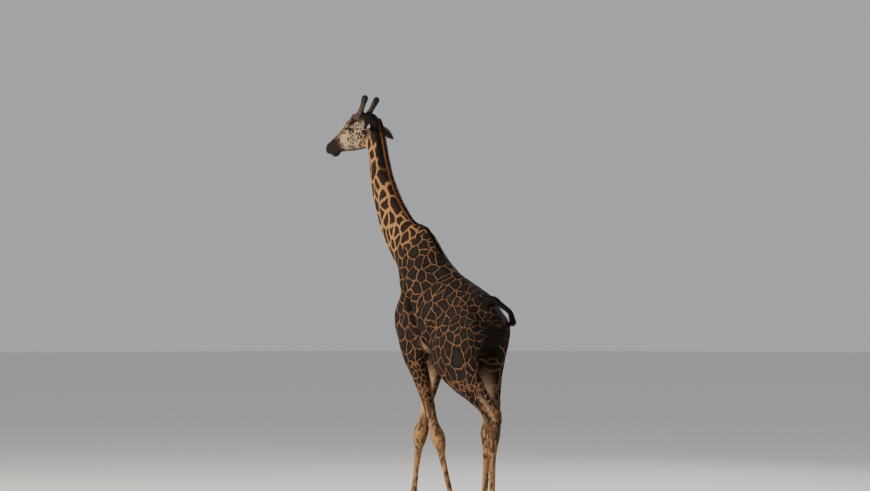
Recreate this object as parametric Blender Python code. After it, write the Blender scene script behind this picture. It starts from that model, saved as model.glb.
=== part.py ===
"""A still, life-size giraffe bull of the Masai kind, walking with its head turned a little to its left.

The body is described in its own directions: forward, left and up, in metres above the ground.
The trunk, neck and legs are lofted from ring stations, fused into one flesh, simplified, and then
parted into named nodes by planes and blocks. The head is fused in the same way, at a finer grain.
"""
import math

import bmesh
import bpy
import numpy as np
from mathutils import Matrix, Vector

GAP = 0.0003              # clearance between pieces that touch
GROWTH = 0.0004           # how much a neighbour is grown before it cuts a piece that meets it
BODY_GRAIN = 0.022        # voxel size of the fused trunk, neck and legs
HEAD_GRAIN = 0.009        # voxel size of the fused head
BODY_TRIANGLES = 4200
HEAD_TRIANGLES = 1450
BLEND_LEVELS = (1.55, 1.95)    # creases are softened above these heights
RING_SIDES = 36
RING_SPACING = 0.03       # distance between the rings of a loft, about

HOOF_HEIGHT = 0.125       # at the toe
HEEL_HEIGHT = 0.075
HOOF_LENGTH = 0.245
CLAW_WIDTH = 0.092
CLAW_SPREAD = 0.051       # from the foot's middle to each claw's middle
PASTERN_BACK = 0.035      # how far the pastern stands behind the hoof's middle

HEAD_POLL = (1.822, 0.0, 4.752)
HEAD_YAW = 17.0           # degrees to its left
HEAD_PITCH = -25.5
HEAD_ROLL = 4.0           # degrees, its right side lower
EYE_RADIUS = 0.031
EYE_ALONG = 0.331         # from the poll
EYE_OUT = 0.094
EYE_UP = 0.004
HORN_LENGTH = 0.314
HORN_CUT = 0.40           # share of the horn, from its base, that stays with the skull
HORN_RADIUS = 0.031
HORN_KNOB = 0.037
HORN_BASE = 0.080
EAR_LENGTH = 0.285
EAR_WIDTH = 0.115
EAR_THICKNESS = 0.009
# Each ear's root, its direction and the way its opening faces, as (along, out, up) on the head.
EARS = {
    "left": ((0.062, 0.084, -0.034), (-0.32, 0.68, -0.65), (-0.66, 0.30, 0.60)),
    "right": ((0.050, 0.084, -0.080), (0.08, 0.86, -0.51), (0.54, 0.29, 0.56)),
}

# Trunk and neck in the plane of symmetry. Each row is a top point and a bottom point, each as
# (forward, up), the half width, how far the widest level sits above the middle as a share of the
# half height, and the roundness of the upper and of the lower half (2 is an ellipse).
TRUNK_ROWS = (
    ((-0.880, 2.250), (-0.890, 2.140), 0.050, 0.00, 2.0, 2.0),
    ((-0.825, 2.360), (-0.850, 2.060), 0.130, 0.00, 2.0, 2.0),
    ((-0.710, 2.510), (-0.730, 2.010), 0.188, 0.00, 1.8, 2.0),
    ((-0.540, 2.665), (-0.540, 1.990), 0.262, 0.06, 1.7, 2.1),
    ((-0.330, 2.745), (-0.270, 1.955), 0.345, 0.05, 1.7, 2.2),
    ((-0.120, 2.830), (0.040, 1.915), 0.390, -0.05, 1.7, 2.3),
    ((0.090, 2.925), (0.320, 1.920), 0.385, -0.08, 1.7, 2.3),
    ((0.300, 3.080), (0.560, 1.975), 0.358, -0.12, 1.7, 2.2),
    ((0.465, 3.235), (0.775, 2.200), 0.322, -0.15, 1.7, 2.1),
    ((0.610, 3.380), (0.885, 2.560), 0.280, -0.15, 1.7, 2.1),
    ((0.755, 3.435), (1.030, 2.865), 0.232, -0.12, 1.7, 2.1),
    ((0.950, 3.485), (1.310, 3.110), 0.190, -0.05, 1.9, 2.1),
    ((1.200, 3.680), (1.578, 3.430), 0.150, 0.00, 2.0, 2.1),
    ((1.428, 3.985), (1.758, 3.845), 0.132, 0.00, 2.0, 2.1),
    ((1.552, 4.272), (1.842, 4.175), 0.116, 0.00, 2.0, 2.0),
    ((1.628, 4.505), (1.898, 4.405), 0.110, 0.00, 2.0, 2.0),
    ((1.706, 4.732), (1.970, 4.560), 0.100, 0.00, 2.0, 2.0),
)

# A limb's rows run from the top down. Each is the centre as (forward, out, up), the half length
# fore and aft, the half width, and the roundness.
FORE_LEFT_ROWS = (
    ((0.480, 0.150, 3.020), 0.080, 0.045, 2.0),
    ((0.500, 0.195, 2.880), 0.160, 0.085, 2.1),
    ((0.540, 0.245, 2.620), 0.235, 0.108, 2.2),
    ((0.590, 0.262, 2.390), 0.288, 0.120, 2.2),
    ((0.568, 0.250, 2.120), 0.246, 0.114, 2.1),
    ((0.530, 0.225, 1.880), 0.190, 0.104, 2.1),
    ((0.425, 0.195, 1.640), 0.130, 0.086, 2.1),
    ((0.345, 0.170, 1.400), 0.096, 0.070, 2.0),
    ((0.262, 0.152, 1.180), 0.074, 0.060, 2.0),
    ((0.198, 0.146, 1.060), 0.110, 0.080, 2.2),
    ((0.152, 0.143, 0.945), 0.100, 0.072, 2.2),
    ((0.110, 0.141, 0.830), 0.060, 0.048, 2.0),
    ((0.016, 0.140, 0.610), 0.046, 0.040, 2.0),
    ((-0.076, 0.140, 0.400), 0.046, 0.039, 2.0),
    ((-0.132, 0.140, 0.275), 0.066, 0.055, 2.1),
    ((-0.150, 0.140, 0.195), 0.056, 0.056, 2.1),
    ((-0.142, 0.140, 0.120), 0.074, 0.080, 2.2),
    ((-0.132, 0.140, 0.060), 0.080, 0.084, 2.2),
)
FORE_RIGHT_ROWS = (
    ((0.490, 0.150, 3.020), 0.080, 0.045, 2.0),
    ((0.525, 0.195, 2.880), 0.160, 0.085, 2.1),
    ((0.580, 0.245, 2.620), 0.235, 0.108, 2.2),
    ((0.640, 0.258, 2.390), 0.272, 0.118, 2.2),
    ((0.670, 0.238, 2.120), 0.230, 0.112, 2.1),
    ((0.725, 0.205, 1.880), 0.178, 0.102, 2.1),
    ((0.795, 0.175, 1.640), 0.130, 0.084, 2.1),
    ((0.858, 0.150, 1.400), 0.096, 0.068, 2.0),
    ((0.920, 0.134, 1.180), 0.074, 0.060, 2.0),
    ((0.960, 0.128, 1.060), 0.110, 0.082, 2.2),
    ((0.986, 0.125, 0.945), 0.100, 0.074, 2.2),
    ((1.010, 0.122, 0.830), 0.059, 0.048, 2.0),
    ((1.055, 0.120, 0.610), 0.046, 0.040, 2.0),
    ((1.098, 0.120, 0.400), 0.046, 0.039, 2.0),
    ((1.130, 0.120, 0.275), 0.066, 0.055, 2.1),
    ((1.162, 0.120, 0.195), 0.056, 0.056, 2.1),
    ((1.196, 0.120, 0.120), 0.074, 0.080, 2.2),
    ((1.210, 0.120, 0.060), 0.080, 0.084, 2.2),
)
HIND_LEFT_ROWS = (
    ((-0.400, 0.150, 2.620), 0.090, 0.055, 2.0),
    ((-0.420, 0.182, 2.500), 0.185, 0.095, 2.1),
    ((-0.420, 0.235, 2.300), 0.390, 0.150, 2.2),
    ((-0.355, 0.248, 2.090), 0.445, 0.155, 2.2),
    ((-0.322, 0.245, 1.880), 0.450, 0.142, 2.1),
    ((-0.448, 0.225, 1.690), 0.385, 0.118, 2.0),
    ((-0.620, 0.200, 1.545), 0.312, 0.094, 2.0),
    ((-0.790, 0.182, 1.445), 0.258, 0.080, 2.0),
    ((-0.935, 0.172, 1.345), 0.205, 0.072, 2.1),
    ((-0.990, 0.166, 1.215), 0.128, 0.068, 2.1),
    ((-0.975, 0.160, 1.070), 0.100, 0.070, 2.1),
    ((-0.962, 0.157, 0.860), 0.060, 0.048, 2.0),
    ((-0.948, 0.155, 0.560), 0.050, 0.041, 2.0),
    ((-0.938, 0.152, 0.390), 0.051, 0.042, 2.0),
    ((-0.928, 0.150, 0.275), 0.067, 0.056, 2.1),
    ((-0.908, 0.150, 0.195), 0.057, 0.057, 2.1),
    ((-0.882, 0.150, 0.120), 0.074, 0.080, 2.2),
    ((-0.870, 0.150, 0.060), 0.080, 0.084, 2.2),
)
HIND_RIGHT_ROWS = (
    ((-0.380, 0.150, 2.620), 0.090, 0.055, 2.0),
    ((-0.385, 0.178, 2.500), 0.170, 0.090, 2.1),
    ((-0.315, 0.232, 2.300), 0.355, 0.148, 2.2),
    ((-0.225, 0.245, 2.090), 0.402, 0.152, 2.2),
    ((-0.170, 0.242, 1.880), 0.390, 0.140, 2.1),
    ((-0.232, 0.220, 1.690), 0.325, 0.116, 2.0),
    ((-0.315, 0.195, 1.545), 0.255, 0.093, 2.0),
    ((-0.388, 0.175, 1.445), 0.205, 0.080, 2.0),
    ((-0.440, 0.163, 1.345), 0.168, 0.072, 2.1),
    ((-0.444, 0.157, 1.215), 0.118, 0.068, 2.1),
    ((-0.408, 0.150, 1.070), 0.102, 0.073, 2.1),
    ((-0.390, 0.148, 0.860), 0.060, 0.048, 2.0),
    ((-0.364, 0.146, 0.560), 0.050, 0.041, 2.0),
    ((-0.352, 0.144, 0.390), 0.051, 0.042, 2.0),
    ((-0.340, 0.142, 0.275), 0.067, 0.056, 2.1),
    ((-0.318, 0.142, 0.195), 0.057, 0.057, 2.1),
    ((-0.290, 0.142, 0.120), 0.074, 0.080, 2.2),
    ((-0.278, 0.142, 0.060), 0.080, 0.084, 2.2),
)
LIMBS = {
    "foreleg_left": (FORE_LEFT_ROWS, 1),
    "foreleg_right": (FORE_RIGHT_ROWS, -1),
    "hindleg_left": (HIND_LEFT_ROWS, 1),
    "hindleg_right": (HIND_RIGHT_ROWS, -1),
}

# The tail's dock swings out over the right haunch and its tuft hangs beside the flank:
# (forward, left, up) and radius.
TAIL_ROWS = (
    ((-0.600, 0.000, 2.540), 0.058),
    ((-0.745, -0.010, 2.572), 0.041),
    ((-0.820, -0.046, 2.525), 0.031),
    ((-0.895, -0.120, 2.440), 0.027),
    ((-0.835, -0.190, 2.360), 0.032),
    ((-0.705, -0.285, 2.315), 0.031),
    ((-0.525, -0.420, 2.330), 0.026),
    ((-0.360, -0.460, 2.285), 0.024),
    ((-0.250, -0.472, 2.170), 0.023),
    ((-0.170, -0.478, 2.070), 0.023),
    ((-0.130, -0.482, 1.960), 0.036),
    ((-0.110, -0.482, 1.820), 0.052),
    ((-0.105, -0.476, 1.650), 0.054),
    ((-0.110, -0.468, 1.490), 0.038),
    ((-0.116, -0.462, 1.390), 0.012),
)
TAIL_TUFT_ROW = 9         # the row where the long hair begins

# Head rows: (along from the poll, top, bottom), half width, widest level and roundness, in the
# head's own directions, with its axis from the poll to the lip.
HEAD_ROWS = (
    ((-0.035, 0.005, -0.150), 0.055, 0.00, 2.0),
    ((0.010, 0.055, -0.240), 0.088, 0.10, 2.1),
    ((0.095, 0.102, -0.285), 0.106, 0.15, 2.2),
    ((0.190, 0.124, -0.292), 0.114, 0.25, 2.2),
    ((0.280, 0.136, -0.282), 0.114, 0.35, 2.2),
    ((0.365, 0.140, -0.258), 0.102, 0.30, 2.2),
    ((0.450, 0.118, -0.226), 0.084, 0.15, 2.2),
    ((0.545, 0.090, -0.182), 0.070, 0.05, 2.2),
    ((0.640, 0.070, -0.142), 0.064, 0.05, 2.3),
    ((0.735, 0.047, -0.118), 0.065, 0.05, 2.4),
    ((0.800, 0.026, -0.092), 0.058, 0.00, 2.3),
    ((0.842, -0.008, -0.058), 0.036, 0.00, 2.1),
)
# Rounded forms on the head: centre (along, out, up) and radii. Those off the middle come in pairs.
HEAD_LUMPS = {
    "median_horn": ((0.286, 0.0, 0.134), (0.054, 0.042, 0.056)),
    "brow": ((0.335, 0.078, 0.042), (0.085, 0.046, 0.050)),
    "cheek": ((0.210, 0.068, -0.130), (0.125, 0.046, 0.115)),
    "nostril": ((0.765, 0.038, 0.002), (0.046, 0.028, 0.030)),
    "upper_lip": ((0.796, 0.0, -0.040), (0.050, 0.060, 0.040)),
    "lower_lip": ((0.718, 0.0, -0.120), (0.064, 0.048, 0.042)),
}

# Blocks that take the legs out of the flesh. The profile is (out, up); the front and rear faces
# lean, so each is given as forward at the ground and how much further forward per metre up.
FORE_PROFILE = ((0.0, -0.1), (0.0, 1.86), (0.12, 1.97), (0.52, 2.64), (0.9, 2.64), (0.9, -0.1))
HIND_PROFILE = ((0.0, -0.1), (0.0, 1.80), (0.10, 1.95), (0.52, 2.78), (0.9, 2.78), (0.9, -0.1))
LEG_BLOCKS = {
    "foreleg_left": (FORE_PROFILE, 1, (0.25, 0.36), (-0.37, 0.31)),
    "foreleg_right": (FORE_PROFILE, -1, (1.65, -0.25), (1.01, -0.30)),
    "hindleg_left": (HIND_PROFILE, 1, (0.50, -0.16), (-1.60, 0.0)),
    "hindleg_right": (HIND_PROFILE, -1, (0.58, -0.14), (-1.60, 0.0)),
}

# Planes between neck and trunk and between head and neck: a point and the upper side's direction.
NECK_BASE = ((1.000, 0.0, 3.215), (0.80, 0.0, 0.60))
NECK_TOP = ((1.810, 0.0, 4.520), (0.73, 0.04, 0.68))

MANE_START = 0.55         # share of the neck's rows where the mane begins, from the rump
MANE_HALF_WIDTH = 0.016
MANE_HEIGHT = 0.060
MANE_ROOT = 0.030         # how deep the crest's blade starts below the neck's top line

COLOURS = {
    "hide": ((0.115, 0.062, 0.034, 1.0), 0.85),
    "eye": ((0.010, 0.007, 0.005, 1.0), 0.12),
    "hoof": ((0.050, 0.040, 0.032, 1.0), 0.60),
    "horn": ((0.120, 0.075, 0.050, 1.0), 0.85),
    "mane": ((0.180, 0.070, 0.030, 1.0), 0.90),
    "tail_hair": ((0.012, 0.010, 0.009, 1.0), 0.70),
}


def clear_scene():
    for item in list(bpy.data.objects):
        bpy.data.objects.remove(item, do_unlink=True)


def material(slot):
    """The Principled material of a slot, made once."""
    made = bpy.data.materials.get(slot)
    if made is None:
        made = bpy.data.materials.new(slot)
        made.use_nodes = True
        colour, roughness = COLOURS[slot]
        shader = made.node_tree.nodes["Principled BSDF"]
        shader.inputs["Base Color"].default_value = colour
        shader.inputs["Roughness"].default_value = roughness
    return made


def to_world(points):
    """Turns (forward, left, up) into world places: the animal faces -Y and its left is +X."""
    points = np.asarray(points, dtype=float)
    return np.stack((points[..., 1], -points[..., 0], points[..., 2]), axis=-1)


def smooth_curve(rows, at):
    """A Catmull-Rom curve through the rows, read at the places in `at`, counted in rows."""
    rows = np.asarray(rows, dtype=float)
    padded = np.vstack((2 * rows[0] - rows[1], rows, 2 * rows[-1] - rows[-2]))
    index = np.clip(at.astype(int), 0, len(rows) - 2)
    t = (at - index)[:, None]
    before, start, end, after = (padded[index + k] for k in range(4))
    return 0.5 * (
        2 * start
        + (end - before) * t
        + (2 * before - 5 * start + 4 * end - after) * t ** 2
        + (3 * start - before - 3 * end + after) * t ** 3
    )


def dense_rows(rows, centres):
    """Reads the rows along their smooth curve about every RING_SPACING."""
    length = np.linalg.norm(np.diff(np.asarray(centres), axis=0), axis=1).sum()
    count = max(len(rows), int(length / RING_SPACING) + 1)
    return smooth_curve(rows, np.linspace(0, len(rows) - 1, count))


def ring_angles(sides=RING_SIDES):
    return np.linspace(0, 2 * math.pi, sides, endpoint=False)


def superellipse(angles, roundness):
    """Cosine and sine raised to 2 over the roundness, with their signs kept."""
    power = 2.0 / roundness
    cosine, sine = np.cos(angles), np.sin(angles)
    return np.sign(cosine) * np.abs(cosine) ** power, np.sign(sine) * np.abs(sine) ** power


def loft_object(name, rings):
    """A closed mesh through rings of points, each end closed by a fan at its middle."""
    rings = np.asarray(rings)
    count, sides = rings.shape[:2]
    points = np.vstack((rings.reshape(-1, 3), rings[0].mean(axis=0), rings[-1].mean(axis=0)))
    faces = []
    for ring in range(count - 1):
        for side in range(sides):
            after = (side + 1) % sides
            lower, upper = ring * sides, (ring + 1) * sides
            faces.append((lower + side, lower + after, upper + after, upper + side))
    start, end, last = count * sides, count * sides + 1, (count - 1) * sides
    for side in range(sides):
        after = (side + 1) % sides
        faces.append((start, after, side))
        faces.append((end, last + side, last + after))
    mesh = bpy.data.meshes.new(name)
    mesh.from_pydata(points.tolist(), [], faces)
    return finished_object(name, mesh)


def finished_object(name, mesh):
    """Links a mesh as an object, with its faces turned outwards."""
    work = bmesh.new()
    work.from_mesh(mesh)
    bmesh.ops.recalc_face_normals(work, faces=work.faces)
    work.to_mesh(mesh)
    work.free()
    made = bpy.data.objects.new(name, mesh)
    bpy.context.collection.objects.link(made)
    return made


def trunk_object(first_row=0):
    """The trunk and neck: superellipse rings between the top and the bottom line."""
    flat = [(*top, *bottom, width, level, upper, lower)
            for top, bottom, width, level, upper, lower in TRUNK_ROWS[first_row:]]
    middles = [((row[0] + row[2]) / 2, (row[1] + row[3]) / 2) for row in flat]
    rings = []
    angles = ring_angles()
    for row in dense_rows(flat, middles):
        top, bottom = row[0:2], row[2:4]
        width, level, upper, lower = row[4:8]
        roundness = np.where(np.sin(angles) > 0, upper, lower)
        across, height = superellipse(angles, roundness)
        height = height + level * (1 - height ** 2)
        middle, half = (top + bottom) / 2, (top - bottom) / 2
        forward = middle[0] + half[0] * height
        up = middle[1] + half[1] * height
        rings.append(to_world(np.stack((forward, across * width, up), axis=-1)))
    return loft_object("trunk_form", rings)


def limb_object(name, rows, side):
    """A leg: level superellipse rings down its line of centres."""
    flat = [(*centre, length, width, roundness) for centre, length, width, roundness in rows]
    rings = []
    angles = ring_angles()
    for row in dense_rows(flat, [r[0:3] for r in flat]):
        across, along = superellipse(angles, row[5])
        forward = row[0] + along * row[3]
        left = side * (row[1] + across * row[4])
        rings.append(to_world(np.stack((forward, left, np.full_like(left, row[2])), axis=-1)))
    return loft_object(name + "_form", rings)


def tube_object(name, rows, first, last, sides=9):
    """A round tube along the rows from `first` to `last`, each ring square to the path."""
    flat = [(*centre, radius) for centre, radius in rows]
    per_row = 3
    at = np.arange(first * per_row, last * per_row + 1) / per_row
    dense = smooth_curve(flat, at)
    ahead = smooth_curve(flat, np.minimum(at + 0.02, len(rows) - 1))[:, 0:3]
    behind = smooth_curve(flat, np.maximum(at - 0.02, 0))[:, 0:3]
    directions = to_world(ahead - behind)
    angles = ring_angles(sides)
    rings = []
    for row, direction in zip(dense, directions):
        direction = direction / np.linalg.norm(direction)
        side = np.cross(direction, (0.31, 0.17, 0.93))
        side /= np.linalg.norm(side)
        lift = np.cross(side, direction)
        circle = np.cos(angles)[:, None] * side + np.sin(angles)[:, None] * lift
        rings.append(to_world(row[0:3]) + row[3] * circle)
    if first:
        start = directions[0] / np.linalg.norm(directions[0])
        rings[0] = rings[0] + start * GAP
    return loft_object(name, rings)


def head_matrix():
    """From the head's own directions (along, left, up) to the world."""
    yaw = Matrix.Rotation(math.radians(HEAD_YAW), 4, "Z")
    pitch = Matrix.Rotation(math.radians(-HEAD_PITCH), 4, "Y")
    roll = Matrix.Rotation(math.radians(HEAD_ROLL), 4, "X")
    body_to_world = Matrix(((0, 1, 0, 0), (-1, 0, 0, 0), (0, 0, 1, 0), (0, 0, 0, 1)))
    return body_to_world @ Matrix.Translation(HEAD_POLL) @ yaw @ pitch @ roll


def head_place(points):
    """Turns (along, left, up) in the head's directions into world places."""
    matrix = np.array(head_matrix())
    points = np.asarray(points, dtype=float)
    return points @ matrix[:3, :3].T + matrix[:3, 3]


def head_form():
    """The skull and muzzle as one loft along the head's axis."""
    flat = [(*place, width, level, roundness) for place, width, level, roundness in HEAD_ROWS]
    rings = []
    angles = ring_angles()
    rows = smooth_curve(flat, np.linspace(0, len(flat) - 1, 56))
    for along, top, bottom, width, level, roundness in rows:
        across, height = superellipse(angles, roundness)
        height = height + level * (1 - height ** 2)
        up = (top + bottom) / 2 + (top - bottom) / 2 * height
        left = across * width
        rings.append(head_place(np.stack((np.full_like(up, along), left, up), axis=-1)))
    return loft_object("head_form", rings)


def blob(name, centre, radii, place=head_place, segments=24):
    """An ellipsoid whose axes follow the head's own directions."""
    rings = []
    angles = ring_angles(segments)
    for polar in np.linspace(0.06, math.pi - 0.06, segments // 2):
        along = np.full(segments, centre[0] - radii[0] * math.cos(polar))
        left = centre[1] + radii[1] * math.sin(polar) * np.cos(angles)
        up = centre[2] + radii[2] * math.sin(polar) * np.sin(angles)
        rings.append(place(np.stack((along, left, up), axis=-1)))
    return loft_object(name, rings)


def horn_line(side):
    """Where a horn's axis starts inside the skull, and its direction, up and leaning back."""
    base = np.array((0.184, side * 0.062, 0.057))
    lean = np.array((-0.214, side * 0.036, 0.160))
    return base, lean / np.linalg.norm(lean)


def horn_form(side, sides=20):
    """A horn that leans back from a wide base, with a slight waist and a rounded knob."""
    base, lean = horn_line(side)
    across = np.cross(lean, (0.0, 1.0, 0.0))
    across /= np.linalg.norm(across)
    other = np.cross(lean, across)
    angles = ring_angles(sides)
    rings = []
    for share in np.linspace(0, 1, 22):
        flare = (HORN_BASE - HORN_RADIUS) * (1 - min(share / 0.48, 1)) ** 2
        knob = (HORN_KNOB - HORN_RADIUS) * max(0.0, 1 - ((share - 0.86) / 0.20) ** 2)
        dome = math.sqrt(max(0.0, 1 - max(0.0, (share - 0.86) / 0.14) ** 2))
        radius = max((HORN_RADIUS + flare + knob) * dome, 0.004)
        centre = base + lean * HORN_LENGTH * share
        ring = centre + radius * (np.cos(angles)[:, None] * across + np.sin(angles)[:, None] * other)
        rings.append(head_place(ring))
    return loft_object("horn_form", rings)


def ear_form(name, side, root, direction, facing):
    """A leaf bent into a cup along its length: an outer arc and an inner arc joined at the edges."""
    base = np.array(root) * (1, side, 1)
    direction = np.array(direction) * (1, side, 1)
    direction /= np.linalg.norm(direction)
    facing = np.array(facing) * (1, side, 1)
    facing -= direction * facing.dot(direction)
    facing /= np.linalg.norm(facing)
    across = np.cross(direction, facing)
    spread = np.linspace(-1, 1, 7)
    bulge = 1 - spread ** 2
    rings = []
    for share in np.linspace(0, 1, 10):
        half = EAR_WIDTH / 2 * math.sin(math.pi * (0.10 + 0.86 * share) ** 0.85)
        half = max(half, 0.010)
        depth = half * (0.95 - 0.60 * share)
        thick = EAR_THICKNESS * (1.3 - 0.6 * share)
        wall = thick * (0.35 + 0.65 * bulge)
        centre = base + direction * EAR_LENGTH * share
        centre = centre - facing * 0.020 * math.sin(math.pi * share)
        outer = centre + np.outer(spread * half, across) - np.outer(depth * bulge + wall / 2, facing)
        inner = centre + np.outer(spread * half * 0.93, across)
        inner = inner - np.outer(depth * bulge - wall / 2, facing)
        rings.append(head_place(np.vstack((outer, inner[::-1]))))
    return loft_object(name, rings)


def mane_form():
    """An upright blade along the top line of the neck, from the withers to the poll."""
    flat = [(*top, *bottom) for top, bottom, *_ in TRUNK_ROWS]
    rows = smooth_curve(flat, np.linspace(MANE_START * (len(flat) - 1), len(flat) - 1.05, 24))
    rings = []
    for index, row in enumerate(rows):
        top, outward = row[0:2], row[0:2] - row[2:4]
        outward = outward / np.linalg.norm(outward)
        share = index / (len(rows) - 1)
        height = MANE_HEIGHT * min(1.0, 0.10 + share / 0.45, 0.35 + (1 - share) / 0.05)
        ring = []
        for half, level in ((1.0, -MANE_ROOT), (1.0, 0.0), (0.55, height * 0.9), (0.15, height)):
            point = top + outward * level
            ring.append((point[0], half * MANE_HALF_WIDTH, point[1]))
        ring += [(forward, -left, up) for forward, left, up in reversed(ring)]
        rings.append(to_world(ring))
    return loft_object("mane", rings)


def claw_object(name, centre_forward, centre_left, inner_side):
    """One claw of a hoof: rings from a flat sole up to the sloping crown."""
    angles = ring_angles(16)
    across, along = superellipse(angles, 2.5)
    rings = []
    for share in (0.0, 0.08, 1.0):
        reach = 1.0 - 0.24 * share - (0.05 if share == 0 else 0)
        half_width = CLAW_WIDTH / 2 * (1.0 - 0.10 * share - (0.06 if share == 0 else 0))
        toe_in = 1.0 - 0.45 * np.maximum(along, 0) ** 2
        forward = centre_forward + along * HOOF_LENGTH / 2 * reach - 0.028 * share
        left = centre_left + half_width * across * toe_in
        left = left + inner_side * 0.010 * np.maximum(along, 0) ** 2
        crown = crown_height(forward - centre_forward) - GAP
        up = crown * share
        rings.append(to_world(np.stack((forward, left, up), axis=-1)))
    return loft_object(name, rings)


def crown_height(ahead):
    """Height of the sloping top of the hoof, at a distance ahead of the hoof's middle."""
    slope = (HOOF_HEIGHT - HEEL_HEIGHT) / HOOF_LENGTH
    return (HOOF_HEIGHT + HEEL_HEIGHT) / 2 + slope * ahead


def apply_modifiers(item):
    """Keeps what the item's modifiers make as its own mesh."""
    graph = bpy.context.evaluated_depsgraph_get()
    mesh = bpy.data.meshes.new_from_object(item.evaluated_get(graph))
    item.modifiers.clear()
    item.data = mesh


def blend_creases(item, iterations):
    """Softens the creases where the legs leave the trunk, and leaves the slim lower legs alone."""
    group = item.vertex_groups.new(name="blend")
    low, high = BLEND_LEVELS
    for vert in item.data.vertices:
        weight = min(max((vert.co.z - low) / (high - low), 0.0), 1.0)
        group.add([vert.index], weight, "REPLACE")
    soften = item.modifiers.new("blend", "SMOOTH")
    soften.factor = 0.5
    soften.iterations = iterations
    soften.vertex_group = group.name
    apply_modifiers(item)


def fused(name, forms, grain, smoothing, triangles, blending=0):
    """Joins overlapping forms into one closed skin, softens it and brings it to few triangles."""
    work = bmesh.new()
    for form in forms:
        work.from_mesh(form.data)
        bpy.data.objects.remove(form, do_unlink=True)
    mesh = bpy.data.meshes.new(name)
    work.to_mesh(mesh)
    work.free()
    made = bpy.data.objects.new(name, mesh)
    bpy.context.collection.objects.link(made)
    remesh = made.modifiers.new("fuse", "REMESH")
    remesh.mode = "VOXEL"
    remesh.voxel_size = grain
    soften = made.modifiers.new("soften", "SMOOTH")
    soften.factor = 0.5
    soften.iterations = smoothing
    apply_modifiers(made)
    if blending:
        blend_creases(made, blending)
    count = sum(len(face.vertices) - 2 for face in made.data.polygons)
    simplify = made.modifiers.new("simplify", "DECIMATE")
    simplify.ratio = min(1.0, triangles / count)
    apply_modifiers(made)
    return made


def leg_block(profile, side, front, rear, growth=0.0):
    """The block that takes one leg out of the flesh, made larger by `growth` all round."""
    middle_out = sum(out for out, _ in profile) / len(profile)
    points = []
    for at_ground, per_metre in (front, rear):
        sign = 1 if (at_ground, per_metre) == front else -1
        for out, up in profile:
            inward = -growth if out < middle_out else growth
            raised = growth if up > 0 else -growth
            forward = at_ground + per_metre * up + sign * growth
            points.append(to_world((forward, side * (out + inward), up + raised)))
    count = len(profile)
    faces = [tuple(range(count)), tuple(range(2 * count - 1, count - 1, -1))]
    for index in range(count):
        after = (index + 1) % count
        faces.append((index, after, count + after, count + index))
    mesh = bpy.data.meshes.new("leg_block")
    mesh.from_pydata([tuple(p) for p in points], [], faces)
    return finished_object("leg_block", mesh)


def copy_of(item, growth=0.0):
    """A copy of an object, its surface moved outwards by `growth`."""
    mesh = item.data.copy()
    if growth:
        work = bmesh.new()
        work.from_mesh(mesh)
        work.normal_update()
        for vert in work.verts:
            vert.co += vert.normal * growth
        work.to_mesh(mesh)
        work.free()
    made = bpy.data.objects.new(item.name + "_copy", mesh)
    bpy.context.collection.objects.link(made)
    return made


def keep_side(item, point, upper, keep_upper):
    """Cuts an object at a plane, keeps one side of it, and closes the cut with a flat face."""
    normal = Vector(to_world(upper)).normalized()
    place = Vector(to_world(point))
    if keep_upper:
        normal = -normal
    place = place - normal * GAP / 2
    work = bmesh.new()
    work.from_mesh(item.data)
    geometry = work.verts[:] + work.edges[:] + work.faces[:]
    bmesh.ops.bisect_plane(work, geom=geometry, plane_co=place, plane_no=normal, clear_outer=True)
    rim = [edge for edge in work.edges if edge.is_boundary]
    bmesh.ops.triangle_fill(work, use_beauty=True, edges=rim)
    bmesh.ops.recalc_face_normals(work, faces=work.faces)
    work.to_mesh(item.data)
    work.free()


def cut(item, tool, operation="DIFFERENCE", solver="EXACT"):
    """Applies a Boolean and removes the tool."""
    boolean = item.modifiers.new("cut", "BOOLEAN")
    boolean.operation = operation
    boolean.object = tool
    boolean.solver = solver
    apply_modifiers(item)
    bpy.data.objects.remove(tool, do_unlink=True)


def keep_largest(item):
    """Deletes every loose piece of an object except the one with the most points."""
    work = bmesh.new()
    work.from_mesh(item.data)
    waiting = set(work.verts)
    groups = []
    while waiting:
        group, queue = [], [waiting.pop()]
        while queue:
            vert = queue.pop()
            group.append(vert)
            for edge in vert.link_edges:
                other = edge.other_vert(vert)
                if other in waiting:
                    waiting.discard(other)
                    queue.append(other)
        groups.append(group)
    groups.sort(key=len)
    for group in groups[:-1]:
        bmesh.ops.delete(work, geom=group, context="VERTS")
    work.to_mesh(item.data)
    work.free()


def as_node(item, name, slot):
    """Names a finished sub-part and gives it its material."""
    item.name = name
    item.data.name = name
    item.data.materials.clear()
    item.data.materials.append(material(slot))
    return item


def make_flesh():
    """Trunk, neck and legs from one fused body."""
    forms = [trunk_object(), head_form()]
    for name, (rows, side) in LIMBS.items():
        forms.append(limb_object(name, rows, side))
    body = fused("body", forms, BODY_GRAIN, 3, BODY_TRIANGLES, blending=16)
    keep_side(body, *NECK_TOP, keep_upper=False)
    neck = copy_of(body)
    keep_side(neck, *NECK_BASE, keep_upper=True)
    keep_side(body, *NECK_BASE, keep_upper=False)
    made = {"neck": as_node(neck, "neck", "hide")}
    for name, block in LEG_BLOCKS.items():
        leg = copy_of(body)
        cut(leg, leg_block(*block), "INTERSECT")
        keep_largest(leg)
        made[name] = as_node(leg, name, "hide")
    for block in LEG_BLOCKS.values():
        cut(body, leg_block(*block, growth=GAP))
    keep_largest(body)
    made["trunk"] = as_node(body, "trunk", "hide")
    return made


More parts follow.
